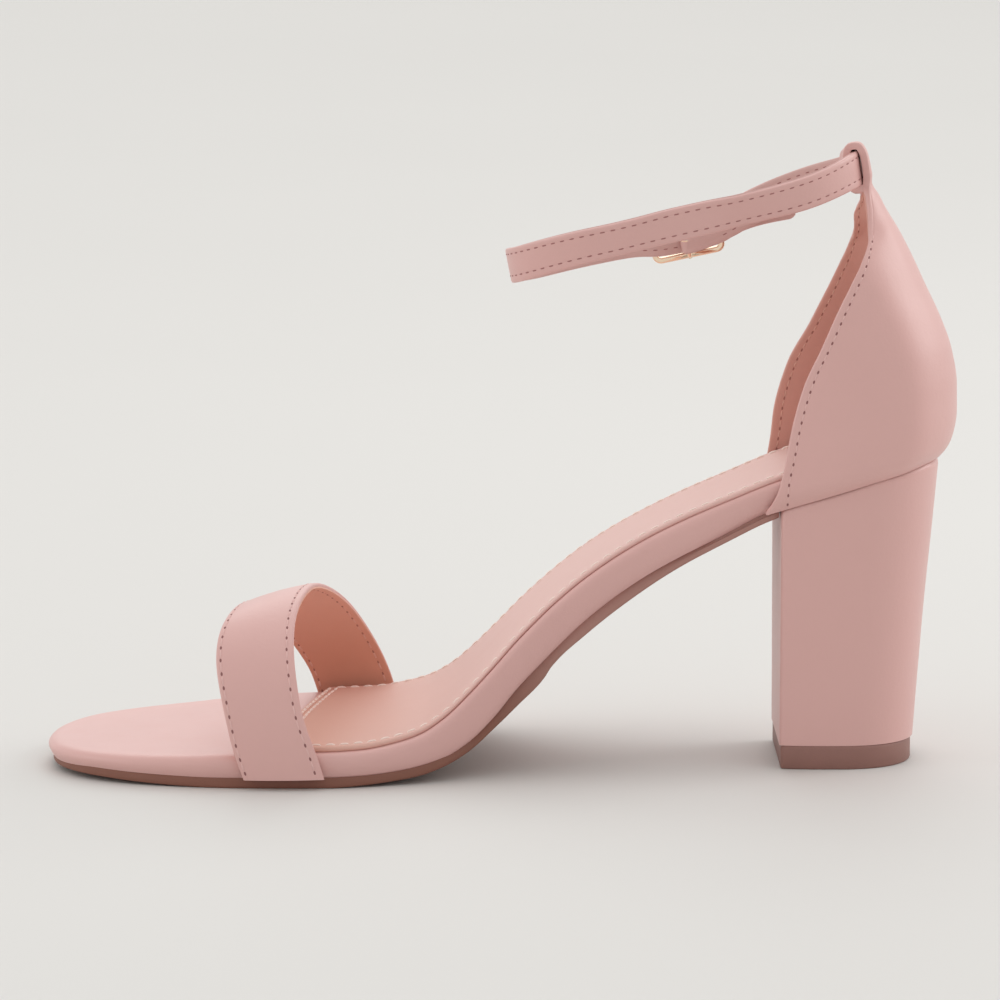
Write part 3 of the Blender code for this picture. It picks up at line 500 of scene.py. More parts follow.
def cap(points, ring, pairs, columns, surface, front):
    """Fills a ring with strips between its paired points; surface gives the height inside."""
    rows = [[ring[k] for k in front]] if front else []
    for a, b in pairs[len(rows):]:
        inside = columns if 1 < abs(a - b) < len(ring) - 1 else 0
        row = [ring[a]]
        for share in np.arange(1, inside + 1) / (inside + 1):
            at = points[ring[a]] * (1 - share) + points[ring[b]] * share
            if surface:
                at[2] = surface(at[0], at[1])
            points.append(at)
            row.append(len(points) - 1)
        rows.append(row if a == b else row + [ring[b]])
    return [face for a, b in zip(rows, rows[1:]) for face in strip(a, b)]


def loft(rings, pairs=None, columns=(0, 0), surfaces=(None, None), front=None, closed=False):
    """Points and faces through rings of equal length, with a cap at each end."""
    count = len(rings[0])
    points = [np.array(p, float) for ring in rings for p in ring]
    numbers = [list(range(k * count, (k + 1) * count)) for k in range(len(rings))]
    faces = []
    for a, b in zip(numbers, numbers[1:] + ([numbers[0]] if closed else [])):
        faces += strip(a + [a[0]], b + [b[0]])
    if not closed:
        faces += cap(points, numbers[0], pairs, columns[0], surfaces[0], front)
        faces += cap(points, numbers[-1], pairs, columns[1], surfaces[1], front)
    return points, faces


def slab(outer, inner):
    """A closed sheet between two grids of points."""
    n = outer.shape[1]
    rings = [np.concatenate([a, b[::-1]]) for a, b in zip(outer, inner)]
    return loft(rings, [(j, 2 * n - 1 - j) for j in range(n)])


def bar(path, radius_a, radius_b, way_a, way_b, sides=BAR_SIDES, closed=False, taper=None, power=1.0):
    """A bar along a path, given its section's two ways; a power under 1 squares the section."""
    angle = (np.arange(sides) + 0.5) * 2 * np.pi / sides
    across_a, across_b = [np.sign(way) * abs(way) ** power for way in (np.cos(angle), np.sin(angle))]
    taper = np.ones(len(path)) if taper is None else taper
    rings = []
    for spot, a, b, size in zip(path, way_a, way_b, taper):
        rings.append(spot + np.outer(radius_a * size * across_a, a) + np.outer(radius_b * size * across_b, b))
    return loft(rings, [(k, sides - 1 - k) for k in range(sides // 2)], closed=closed)


def shown(name, data):
    """A new object in the scene."""
    made = bpy.data.objects.new(name, data)
    bpy.context.scene.collection.objects.link(made)
    return made


def piece(name, mesh, look, node=None):
    """An object from points in table millimetres, with its faces turned outwards."""
    points, faces = mesh
    data = bpy.data.meshes.new(name)
    data.from_pydata(((np.array(points) - (MIDDLE, 0, 0)) * MM).tolist(), [], faces)
    work = bmesh.new()
    work.from_mesh(data)
    bmesh.ops.remove_doubles(work, verts=work.verts, dist=WELD_DISTANCE)
    bmesh.ops.recalc_face_normals(work, faces=work.faces)
    if work.calc_volume(signed=True) < 0:
        bmesh.ops.reverse_faces(work, faces=work.faces)
    work.to_mesh(data)
    work.free()
    data.shade_smooth()
    data.set_sharp_from_angle(angle=np.radians(SHARP_ANGLE))
    data.materials.append(look)
    made = shown(name, data)
    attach(made, BODY)
    if node:
        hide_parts(node)
    return made


def unite(target, other):
    """Joins another object to the target, and removes it."""
    step = target.modifiers.new("shape", "BOOLEAN")
    step.operation = "UNION"
    step.object = other
    step.solver = "EXACT"
    bpy.context.view_layer.update()
    graph = bpy.context.evaluated_depsgraph_get()
    shaped = bpy.data.meshes.new_from_object(target.evaluated_get(graph))
    target.modifiers.clear()
    target.data = shaped
    bpy.data.objects.remove(other, do_unlink=True)


# Sole


def sole_stations(start, end, toe, heel):
    """Stations along the sole, closer together at a closed end."""
    first, last = (TOE_ROUND if toe else start), (SEAT_ROUND if heel else end)
    turn = np.pi / 2 * np.arange(TOE_STEPS) / TOE_STEPS
    out = list(TOE_TIP + (TOE_ROUND - TOE_TIP) * (1 - np.cos(turn))) if toe else []
    out += list(np.linspace(first, last, int(np.ceil((last - first) / STATION_STEP)) + 1))
    if heel:
        turn = np.pi / 2 * np.arange(1, SEAT_STEPS + 1) / SEAT_STEPS
        out += list(last + (end - last) * np.sin(turn))
    return np.array(out)


def outline(medial_u, lateral_u, front_closed, back_closed):
    """The loop of the plan and its pairs: the medial side backwards, then the lateral side forwards."""
    n = len(medial_u)
    medial = np.stack([medial_u, plan(medial_u, "medial")], 1)
    lateral = np.stack([lateral_u, plan(lateral_u, "lateral")], 1)
    first, last = int(front_closed), n - int(back_closed)
    loop = np.concatenate([medial, lateral[first:last][::-1]])
    pairs = []
    for i in range(n):
        alone = (i == 0 and front_closed) or (i == n - 1 and back_closed)
        pairs.append((i, i if alone else n + last - 1 - i))
    return loop, pairs


def board():
    u = sole_stations(0.0, BOARD_LENGTH, True, True)
    loop, pairs = outline(u, u, True, True)
    back = blend(loop[:, 0], BOARD_SEAT)
    thin = 1 - TOE_THINNER + TOE_THINNER * blend(loop[:, 0], TOE_THIN)
    soft = 1 - blend(loop[:, 0], TOE_SOFT)
    rings = []
    for ring in BOARD_RINGS:
        away = ring.toe + (ring.seat - ring.toe) * back
        if ring.base == "low":
            rings.append(raised(inset(loop, away), under_board, ring.rise * thin - TOE_DROP * soft))
        else:
            rings.append(raised(inset(loop, away * (1 + TOE_SOFTER * soft)), top_of_board, ring.rise * thin))
    profiles = np.swapaxes(np.array(rings), 0, 1)
    rings = np.stack([through(profile, EDGE_ROWS) for profile in profiles], 1)
    return loft(rings, pairs, (0, TOP_COLUMNS), (None, top_of_board))


def sock_outline():
    """The sock's loop, its pairs and the numbers of its front edge's points."""
    u = sole_stations(SOCK_FRONT_MIDDLE, BOARD_LENGTH, False, True)
    u = np.delete(u, range(1, SOCK_CORNER_STATIONS))
    share = (u - u[0]) / (BOARD_LENGTH - u[0])
    early = np.clip(1 - share / SOCK_SKEW_SHARE, 0, 1) ** 2
    medial = u + (SOCK_FRONT_MEDIAL - SOCK_FRONT_MIDDLE) * early
    lateral = u + (SOCK_FRONT_LATERAL - SOCK_FRONT_MIDDLE) * early
    loop, pairs = outline(medial, lateral, False, True)
    share = np.arange(1, TOP_COLUMNS + 1)[:, None] / (TOP_COLUMNS + 1)
    front = loop[-1] * (1 - share) + loop[0] * share
    front[:, 0] -= SOCK_FRONT_BULGE * 4 * share[:, 0] * (1 - share[:, 0])
    n = len(loop)
    numbers = [0] + list(range(n + TOP_COLUMNS - 1, n - 1, -1)) + [n - 1]
    return np.concatenate([loop, front]), pairs, numbers


def sock():
    loop, pairs, front = sock_outline()
    rings = [raised(inset(loop, SOCK_INSET + lip.inside), top_of_board, lip.rise) for lip in SOCK_LIP]
    surfaces = [lifted(top_of_board, lip.rise) for lip in (SOCK_LIP[0], SOCK_LIP[-1])]
    return loft(rings, pairs, (TOP_COLUMNS, TOP_COLUMNS), surfaces, front)


def outsole():
    u = sole_stations(0.0, BREAST_STATION, True, False)
    u = np.sort(np.append(u, SHANK_STEP))
    loop, pairs = outline(u, u, True, False)
    shank = blend(loop[:, 0], SHANK_TUCK)
    tuck = OUTSOLE_INSET - TOE_INSET_LESS * blend(loop[:, 0], TOE_TUCK)
    tuck += SHANK_INSET_MORE * shank + SEAT_INSET_MORE * blend(loop[:, 0], SEAT_TUCK)
    end = loop[:, 0] > BREAST_STATION - BREAST_SLACK
    rings = []
    for row in OUTSOLE_ROWS:
        inner = inset(loop, tuck + row.inside + row.shank * shank)
        inner[end, 0] = BREAST_STATION
        rings.append(raised(inner, under_outsole if row.base == "low" else under_board, row.rise))
    surfaces = under_outsole, lifted(under_board, SEATED)
    return loft(rings, pairs, (TOP_COLUMNS, OUTSOLE_TOP_COLUMNS), surfaces)


def heel_loop(front, back, half):
    """A plan with a straight front, rounded front corners, nearly straight sides and a round back."""
    depth = back - front
    turn = HEEL_ROUND_SHARE * depth
    angle = np.linspace(0, np.pi / 2, HEEL_BACK_POINTS)
    corner = np.linspace(np.pi / 2, np.pi, CORNER_STEPS)
    half_u = np.concatenate([
        back - turn + turn * np.cos(angle) ** HEEL_ROUND_POWER,
        front + (depth - turn) * HEEL_SIDES[:, 0],
        front + HEEL_FRONT_CORNER * (1 + np.cos(corner)),
    ])
    half_y = np.concatenate([
        half * np.sin(angle) ** HEEL_ROUND_POWER,
        half * HEEL_SIDES[:, 1],
        half * HEEL_SIDE_WIDTH + HEEL_FRONT_CORNER * (np.sin(corner) - 1),
    ])
    medial = np.stack([half_u[::-1], -half_y[::-1]], 1)
    lateral = np.stack([half_u[1:], half_y[1:]], 1)
    n = len(half_u)
    pairs = [(k, 2 * n - 2 - k) for k in range(n - 1)] + [(n - 1, n - 1)]
    return np.concatenate([medial, lateral]), pairs


def heel():
    seat = lifted(under_board, SEATED)
    rings = []
    rows = [(share, 0.0) for share in np.linspace(0, HEEL_RIM[0][0], HEEL_ROWS)[:-1]]
    for share, shrink in rows + HEEL_RIM:
        loop, pairs = heel_loop(*row_at(HEEL, column(HEEL, "share"), share)[1:])
        loop = inset(loop, shrink)
        high = seat(loop[:, 0], loop[:, 1])
        rings.append(np.column_stack([loop, LIFT_HEIGHT + (high - LIFT_HEIGHT) * share]))
    return loft(rings, pairs, (0, HEEL_TOP_COLUMNS), (None, seat))


def lift():
    base = HEEL[0]
    rings = []
    for z, shrink in LIFT_ROWS:
        more = LIFT_PROUD - shrink
        front = base.front + LIFT_SET_BACK + shrink
        loop, pairs = heel_loop(front, base.back + more - LIFT_SHORT, base.half_width + more)
        rings.append(np.column_stack([loop, np.full(len(loop), z)]))
    return loft(rings, pairs)


# Leather sheets


def edge_columns(seam):
    """Distances in from a stitched edge, and the surface's depth under the full face."""
    inside = np.append(column(ROUNDED_EDGE, "inside"), seam + column(SEAM_TROUGH, "inside"))
    return inside, np.append(column(ROUNDED_EDGE, "under"), column(SEAM_TROUGH, "under"))


def edge_to_edge(under, middle):
    """Depths under a face from edge to edge, with full columns in the middle."""
    return np.concatenate([under, np.zeros(middle), under[::-1]])[None, :, None]


def layers(face, normal, under, leather, whole, roll):
    """An outer leather and a lining under a face, each as an outer and an inner grid."""
    rounded = np.minimum(under, roll.most) * (under > roll.begins)
    upper = face - normal * under, face - normal * (leather - rounded)
    lining_top = face - normal * (leather + LAYER_GAP + rounded)
    return upper, (lining_top, face - normal * (whole - roll.lining * under))


def stretch_of(face, normal, span):
    """The rows of a face and its normals between two shares of its length."""
    first, last = [int(share * len(face)) for share in span]
    return face[first:last], normal[first:last]


def behind(face, normal, depth):
    """The hidden side of a sheet, with its own normals."""
    return face - normal * depth, -normal


# Vamp strap and counter


def vamp_face():
    """The vamp strap's full face, its normals and its surface's depth under the face."""
    front, rear = [through(edge, VAMP_ROWS) for edge in (VAMP_FRONT, VAMP_REAR)]
    ahead, under = edge_columns(VAMP_SEAMS[0])
    width = length(rear - front)[:, None]
    near, far = ahead[None] / width, edge_columns(VAMP_SEAMS[1])[0][None] / width
    middle = np.linspace(near[:, -1], 1 - far[:, -1], VAMP_MIDDLE + 2)[1:-1].T
    share = np.concatenate([near, middle, 1 - far[:, ::-1]], 1)[:, :, None]
    face = front[:, None] * (1 - share) + rear[:, None] * share
    face = face + grid_normals(face, UP) * VAMP_CROWN * (1 - (2 * share - 1) ** 2)
    return face, grid_normals(face, UP), edge_to_edge(under, VAMP_MIDDLE)


def counter_row(t):
    """A row of the counter's face at a height share, with its columns along the seams."""
    cup = row_at(COUNTER, np.linspace(0, 1, len(COUNTER)), t)
    seam = COUNTER_SEAM_BASE + (COUNTER_SEAM - COUNTER_SEAM_BASE) * blend(t, COUNTER_SEAM_BENDS)
    inside, _ = edge_columns(seam)
    halves = []
    for side, more in (("medial", 0), ("lateral", cup.lateral_more)):
        reach = cup.back_u - cup.front_u + more
        q = reach * np.linspace(1, 0, ROW_FINE) ** COUNTER_CROWDED
        y = cup.width * (SEAT_WIDEN * plan(BOARD_LENGTH - SEAT_STRETCH * q, side))
        z = cup.back_z + (cup.front_z - cup.back_z) * (q / reach) ** COUNTER_SAG
        line = np.stack([cup.back_u - q, y, z], 1)
        run = run_of(line)
        rest = np.linspace(inside[-1], run[-1], COUNTER_MIDDLE)[1:]
        halves.append(at_run(line, run, np.append(inside, rest)))
    return np.concatenate([halves[0], halves[1][-2::-1]])


def loop_rows(columns):
    """Rows over the counter's loop, from outside over the top and down inside."""
    path = strap_path(FINE_ROWS)
    width_way, thick_way = strap_frames(path)
    run = run_of(path)
    centre = run[np.argmin(length(path[:, :3] - np.array(LOOP_POINT[:3])))]
    steps = centre + LOOP_WIDTH / 2 * columns
    spots, tall_way, deep_way = [at_run(rows, run, steps) for rows in (path[:, :3], width_way, -thick_way)]
    lower = 1 - LOOP_FAR_LOWER * np.clip(-columns, 0, 1)[:, None]
    rows = []
    for angle in np.radians(np.linspace(*LOOP_TURN, LOOP_COARSE)):
        tall, deep = [np.sign(a) * abs(a) ** LOOP_ROUND for a in (np.sin(angle), np.cos(angle))]
        tall = tall * (LOOP_ABOVE * lower if tall > 0 else LOOP_BELOW)
        rows.append(spots + tall * tall_way + LOOP_HALF_DEPTH * deep * deep_way)
    return np.array(rows)


def counter_face():
    """The outer face of the counter and, above it, of its loop."""
    face = np.array([counter_row(t) for t in np.linspace(0, COUNTER_TOP, COUNTER_COARSE)])
    top = face[-1, :, 1]
    columns = -top / abs(top).max()
    rows = np.concatenate([face, loop_rows(columns)])
    face = np.stack([through(line, COUNTER_ROWS) for line in np.swapaxes(rows, 0, 1)], 1)
    return face, grid_normals(face, BACKWARDS)


def counter_grids(face, normal):
    """The counter's leather, thicker along its loop, and its lining: each an outer and an inner grid."""
    under = edge_to_edge(edge_columns(COUNTER_SEAM)[1], 2 * COUNTER_MIDDLE - 3)
    share = np.linspace(0, 1, COUNTER_ROWS)[:, None, None]
    thick = COUNTER_LEATHER + LOOP_THICKER * blend(share, LOOP_STARTS)
    upper, _ = layers(face, normal, under, thick, thick, COUNTER_ROLL)
    face, normal = stretch_of(face, normal, LINING_SPAN)
    lining_top = face - normal * (COUNTER_LEATHER - COUNTER_LINING_SUNK)
    lining_back = face - normal * (COUNTER_LEATHER + COUNTER_LINING - COUNTER_ROLL.lining * under)
    return upper, (lining_top, lining_back)


# Ankle strap


def buckle_axes():
    """The buckle's ways along its length, outwards and up."""
    pitch, lean = np.radians([BUCKLE_PITCH, BUCKLE_LEAN])
    along = np.array([np.cos(pitch), 0, np.sin(pitch)])
    level = np.array([0.0, 1.0, 0.0])
    upright = np.array([-np.sin(pitch), 0, np.cos(pitch)])
    out = level * np.cos(lean) + upright * np.sin(lean)
    return along, out, upright * np.cos(lean) - level * np.sin(lean)


ALONG, OUT, RISE = buckle_axes()


def at_buckle(along, out, rise=0.0):
    return np.array(BUCKLE_AT) + along * ALONG + out * OUT + rise * RISE


def woven(along, out, rise, thickness=STRAP_THICKNESS):
    """A row of the strap's path at the buckle."""
    return (*at_buckle(along, out, rise), BUCKLE_LEAN, thickness)


def strap_path(count):
    """Points, lean and thickness along the strap, from its folded end to its free tip."""
    rows = [woven(*row) for row in OWN_END]
    wrap = PIVOT_RADIUS + FOLD_CLEARANCE + FOLD_THICKNESS / 2
    for angle in np.radians(np.linspace(*FOLD_TURN)):
        out = -PIVOT_DEPTH + wrap * np.sin(angle)
        rows.append(woven(wrap * np.cos(angle), out, FOLD_UP, FOLD_THICKNESS))
    rows += [woven(*row) for row in OWN_LEAVES]
    rows += [(*turn, STRAP_THICKNESS) for turn in OWN_RUN + MEDIAL_RUN]
    rows += [woven(*row) for row in FREE_END]
    fine = through(rows, FINE_ROWS)
    turned = length(np.diff(fine[:, :3], n=2, axis=0))
    density = STRAP_EVEN + STRAP_BEND * np.append(turned, 0.0)
    want = np.append(0, np.cumsum(density))
    number = np.arange(FINE_ROWS)
    return at_run(fine, number, np.interp(np.linspace(0, want[-1], count), want, number))


def strap_frames(path):
    """The ways along the strap's width and through its thickness, for each point."""
    spots = path[:, :3]
    ahead = unit(np.gradient(spots, axis=0))
    away = np.hypot(*(spots - np.array(BUCKLE_AT))[:, [0, 2]].T)
    near = 1 - blend(away, BUCKLE_REACH)[:, None]
    rise = np.array(UP) * (1 - near) + RISE * near
    rise = unit(rise - ahead * (rise * ahead).sum(1)[:, None])
    inward = np.cross(ahead, rise)
    tilt = np.radians(path[:, 3])[:, None] * (1 - near)
    width_way = rise * np.cos(tilt) + inward * np.sin(tilt)
    return width_way, np.cross(ahead, width_way)


def strap_grids():
    """Grids of the ankle strap's leather and lining, and their normals."""
    path = strap_path(STRAP_ROWS)
    width_way, thick_way = strap_frames(path)
    run = run_of(path)
    tip = np.clip((run[-1] - run) / TIP_LENGTH, 0, 1)
    half = STRAP_WIDTH / 2 * (1 - TIP_NARROWS * (1 - tip) ** TIP_POWER)
    half *= 1 - FOLD_NARROWS * (1 - blend(run, FOLD_WIDENS))
    below, under = edge_columns(STRAP_SEAMS[0])
    above, _ = edge_columns(STRAP_SEAMS[1])
    share = np.concatenate([below - STRAP_WIDTH / 2, STRAP_MIDDLE, STRAP_WIDTH / 2 - above[::-1]])
    scale = half / (STRAP_WIDTH / 2)
    spots = path[:, None, :3] + (share[None, :] * scale[:, None])[:, :, None] * width_way[:, None]
    thick = path[:, 4][:, None, None]
    normal = np.broadcast_to(-thick_way[:, None], spots.shape)
    face = spots + normal * thick / 2
    size = thick / STRAP_THICKNESS
    drop = edge_to_edge(under, len(STRAP_MIDDLE)) * size
    return *layers(face, normal, drop, LEATHER * size, thick, STRAP_ROLL), normal


# Buckle


def buckle_ring():
    long_half = (BUCKLE_LENGTH - BUCKLE_BAR) / 2
    tall_half = (BUCKLE_HEIGHT - BUCKLE_BAR) / 2
    path, side = [], []
    for a, r, start in ((1, 1, 0), (-1, 1, 90), (-1, -1, 180), (1, -1, 270)):
        corner = at_buckle(a * (long_half - BUCKLE_CORNER), 0, r * (tall_half - BUCKLE_CORNER))
        for turn in np.radians(start + np.linspace(0, 90, CORNER_STEPS)):
            way = np.cos(turn) * ALONG + np.sin(turn) * RISE
            path.append(corner + BUCKLE_CORNER * way)
            side.append(way)
    out = [OUT] * len(path)
    return bar(path, BUCKLE_BAR / 2, BUCKLE_DEPTH / 2, side, out, closed=True, power=BUCKLE_SQUARE)


def buckle_pivot():
    tall_half = (BUCKLE_HEIGHT - BUCKLE_BAR) / 2 - PIVOT_INSIDE
    path = [at_buckle(0, out, tall_half - inward) for out, inward in PIVOT_POST]
    path += [at_buckle(0, out, inward - tall_half) for out, inward in PIVOT_POST[::-1]]
    normal = unit(np.cross(np.gradient(np.array(path), axis=0), ALONG))
    return bar(path, PIVOT_RADIUS, PIVOT_RADIUS, [ALONG] * len(path), normal)


def prong():
    turn = PIVOT_RADIUS + PRONG_CLEARANCE + PRONG_RADIUS
    flat = []
    for angle in np.radians(np.linspace(*PRONG_TURN)):
        flat.append((turn * np.cos(angle), turn * np.sin(angle) - PIVOT_DEPTH))
    flat = through([(*row, 0.0) for row in flat + PRONG], PRONG_ROWS)
    path = [at_buckle(along, out) for along, out, _ in flat]
    normal = unit(np.cross(np.gradient(np.array(path), axis=0), RISE))
    taper = np.interp(np.linspace(0, 1, PRONG_ROWS), *zip(*PRONG_TAPER))
    return bar(path, PRONG_RADIUS, PRONG_RADIUS, [RISE] * PRONG_ROWS, normal, taper=taper)


# Stitches and holes


def thread_shape(stitch):
    """One stitch along x, rising out of the leather and back into it."""
    share = np.append(-THREAD_HALF[::-1, 0], THREAD_HALF[:, 0])
    size = np.append(THREAD_HALF[::-1, 1], THREAD_HALF[:, 1])
    rise = stitch.radius * (THREAD_RISE - THREAD_FALL * share ** 4)
    path = np.stack([share * stitch.length / 2, 0 * share, rise], 1)
    ways = [(0, 1, 0)] * len(share), [UP] * len(share)
    return bar(path, stitch.radius, stitch.radius * THREAD_FLAT, *ways, sides=THREAD_SIDES, taper=size)


def hole_shape(long, wide):
    """A flat lens that stands for a hole, to be painted dark with the shade inside it."""
    angle = np.linspace(0, 2 * np.pi, HOLE_SIDES, endpoint=False)
    rim = np.stack([long * np.cos(angle), wide * np.sin(angle), 0 * angle], 1)
    points = [(0, 0, HOLE_DOME), (0, 0, -HOLE_DOME), *rim]
    faces = []
    for k in range(HOLE_SIDES):
        a, b = 2 + k, 2 + (k + 1) % HOLE_SIDES
        faces += [(0, a, b), (1, b, a)]
    return points, faces


def joined(meshes):
    """One mesh from several."""
    points, faces = [], []
    for more, other in meshes:
        faces += [tuple(len(points) + k for k in face) for face in other]
        points += more
    return points, faces


def copies(shape, line, normal, where):
    """Copies of a shape at distances along a line on a surface."""
    base, faces = np.array(shape[0]), shape[1]
    run = run_of(line)
    spots, ups = at_run(line, run, where), unit(at_run(normal, run, where))
    ahead = unit(at_run(line, run, where + PROBE) - at_run(line, run, where - PROBE))
    ahead = unit(ahead - ups * (ahead * ups).sum(1)[:, None])
    side = np.cross(ups, ahead)
    return joined((list(spot + base @ np.array(ways)), faces) for spot, *ways in zip(spots, ahead, side, ups))


def sown(shape, lines, pitch, offset, sunk):
    """Copies of a shape at even steps along lines on a surface, sunk into it."""
    made = []
    for line, normal in lines:
        whole = run_of(line)[-1]
        count = int(whole / pitch)
        made.append(copies(shape, line - normal * sunk, normal, (np.arange(count) + offset) * whole / count))
    return joined(made)


def stitched(name, lines, stitch, thread, slot, hole=None):
    """Pieces for stitches along lines and, where hole is a look, the needle holes between, as dark lenses of
    painted shade.
    """
    threads = sown(thread_shape(stitch), lines, stitch.pitch, 0.5, stitch.sunk)
    piece(name + "_stitches", threads, thread)
    if hole:
        holes = sown(hole_shape(stitch.hole, HOLE_HALF_WIDTH), lines, stitch.pitch, 0.0, HOLE_SUNK)
        piece(name + "_painted_hole_shades", holes, hole)


def seamed(name, sheet, *looks):
    """Stitches along both seams of a sheet, given as its face and normals."""
    face, normal = sheet
    stitched(name, [(face[:, k], normal[:, k]) for k in (SEAM_COLUMN, -1 - SEAM_COLUMN)], *looks)


def punched(face, normal):
    """Holes along the middle of the strap's free end, on one of its faces, as dark lenses of painted shade.
    """
    middle = face.shape[1] // 2
    line, ways = face[:, middle], normal[:, middle]
    half = len(line) // 2
    gap = length(line[half:] - at_buckle(*PUNCH_PLACE))
    where = run_of(line)[half + gap.argmin()] + np.array(PUNCH_STEPS)
    return copies(hole_shape(PUNCH_RADIUS, PUNCH_RADIUS), line, ways, where)


def sock_seams():
    """Lines on the sock with their normals: one round its edge, and two along its front."""
    whole = sock_outline()[0]
    count = len(whole) - TOP_COLUMNS
    seams = [(SOCK_SEAM, slice(count))] + [(inside, slice(count, None)) for inside in SOCK_FRONT_SEAMS]
    lines = []
    for inside, part in seams:
        loop = inset(whole, SOCK_INSET + inside)[part]
        line = raised(loop, top_of_board, SOCK_THICKNESS)
        beside = raised(loop + (0.0, PROBE), top_of_board, SOCK_THICKNESS)
        normal = unit(np.cross(np.gradient(line, axis=0), beside - line))
        lines.append((line, normal * np.sign(normal[:, 2:])))
    return lines


# Materials: scales are per metre, and depths in metres

# Sockets of the colour mix node
MIX_SHARE, MIX_FIRST, MIX_LAST, MIX_RESULT = 0, 6, 7, 2
# Bumps from noise: scale, detail, strength and depth; the wrinkles' scale is a share of the grain's
Bumps = collections.namedtuple("Bumps", "scale detail strength depth")
LEATHER_FOLDS = Bumps(60, 2, 0.25, 0.0006)
LEATHER_WRINKLES = Bumps(0.35, 6, 0.22, 0.00025)
RUBBER_GRIT = Bumps(2600, 5, 0.35, 0.0002)
PLATE_WAVES = Bumps(900, 2, 0.04, 0.0001)
THREAD_TWIST = Bumps(5200, 4, 0.4, 0.00012)
# Other bumps: strength and depth
LEATHER_CELLS = (0.12, 0.00012)
RUBBER_RIBS = (0.8, 0.0006)
RIB_SCALE = 150
FACES_DOWN = (-0.9, -0.98)
# Change of gloss: scale, and the least and most that it adds to the roughness
LEATHER_GLOSS = (160, -0.05, 0.06)
RUBBER_GLOSS = (300, -0.08, 0.08)
PLATE_GLOSS = (500, -0.05, 0.07)
GLOSS_DETAIL = 3
COAT_ROUGHNESS = 0.38
THREAD_ROUGHNESS = 0.6
HOLE_ROUGHNESS = 0.8
LEATHER_MOTTLE, RUBBER_MOTTLE, THREAD_MOTTLE, FLOOR_MOTTLE = 22, 180, 900, 3


def fill(made, node, values):
    """Sets the inputs of a node, named in lower case, or links them where the value is a socket."""
    for label, value in values.items():
        socket = node.inputs[label.replace("_", " ").title()]
        if isinstance(value, bpy.types.NodeSocket):
            made.node_tree.links.new(value, socket)
        else:
            socket.default_value = value


def add_node(made, kind, **inputs):
    node = made.node_tree.nodes.new("ShaderNode" + kind)
    fill(made, node, inputs)
    return node


def place(made):
    """Sockets for each point's own place on the sandal, in metres, and for its normal."""
    return add_node(made, "TexCoord").outputs


def noise(made, where, scale, detail=2):
    return add_node(made, "TexNoise", vector=where["Object"], scale=scale, detail=detail).outputs["Fac"]


def share_along(made, vector, axis, span, kind="LINEAR"):
    """How far one axis of a vector has come between two values, from 0 to 1."""
    parts = add_node(made, "SeparateXYZ", vector=vector)
    share = add_node(made, "MapRange", value=parts.outputs[axis], from_min=span[0], from_max=span[1])
    share.interpolation_type = kind
    return share.outputs["Result"]


def tone(made, socket, first, last, share):
    """Colours a socket between two tones, by a share from another node."""
    mix = add_node(made, "Mix")
    mix.data_type = "RGBA"
    mix.inputs[MIX_FIRST].default_value = (*first, 1)
    mix.inputs[MIX_LAST].default_value = (*last, 1)
    made.node_tree.links.new(share, mix.inputs[MIX_SHARE])
    made.node_tree.links.new(mix.outputs[MIX_RESULT], socket)


def drift(made, axis, first, last, span):
    """Lets the colour drift from first to last, between two places along an axis in metres."""
    share = share_along(made, place(made)["Object"], axis, span, "SMOOTHSTEP")
    tone(made, made.node_tree.nodes["Principled BSDF"].inputs["Base Color"], first, last, share)


def bumpy(made, where, bumps):
    """Noise as a height for relief, with its strength and depth."""
    return noise(made, where, bumps.scale, bumps.detail), bumps.strength, bumps.depth


def relief(made, surface, *bumps):
    """Bumps one over the other; each is the socket of a height, a strength and a depth."""
    below = {}
    for source, strength, depth in bumps:
        bump = add_node(made, "Bump", height=source, strength=strength, distance=depth, **below)
        below = {"normal": bump.outputs["Normal"]}
    fill(made, surface, below)


def material(name, color, other, roughness, mottled=1, change=None, **more):
    """A material that varies a little in colour and gloss, its Principled shader and its place sockets."""
    made = bpy.data.materials.new(name)
    made.use_nodes = True
    made.diffuse_color = (*color, 1)
    surface = made.node_tree.nodes["Principled BSDF"]
    fill(made, surface, {"base_color": (*color, 1), "roughness": roughness, **more})
    where = place(made)
    if other:
        tone(made, surface.inputs["Base Color"], color, other, noise(made, where, mottled))
    if change:
        scale, least, most = change
        value = noise(made, where, scale, GLOSS_DETAIL)
        varied = add_node(made, "MapRange", value=value, to_min=roughness + least, to_max=roughness + most)
        fill(made, surface, {"roughness": varied.outputs["Result"]})
    return made, surface, where


def leather(name, color, other, grain, roughness, coat=0.2):
    """Smooth faux leather with a fine pebble grain."""
    coats = {"coat_weight": coat, "coat_roughness": COAT_ROUGHNESS}
    made, surface, where = material(name, color, other, roughness, LEATHER_MOTTLE, LEATHER_GLOSS, **coats)
    folds = bumpy(made, where, LEATHER_FOLDS)
    wrinkles = bumpy(made, where, LEATHER_WRINKLES._replace(scale=grain * LEATHER_WRINKLES.scale))
    cells = add_node(made, "TexVoronoi", vector=where["Object"], scale=grain).outputs["Distance"]
    relief(made, surface, folds, wrinkles, (cells, *LEATHER_CELLS))
    return made


def tread(made, where):
    """Height of fine ribs, only on the faces that look down."""
    ribs = add_node(made, "TexWave", vector=where["Object"], scale=RIB_SCALE, distortion=0)
    ribs.bands_direction = "DIAGONAL"
    both = add_node(made, "Math")
    both.operation = "MULTIPLY"
    factors = ribs.outputs["Fac"], share_along(made, where["Normal"], "Z", FACES_DOWN)
    for factor, socket in zip(factors, both.inputs):
        made.node_tree.links.new(factor, socket)
    return both.outputs["Value"]


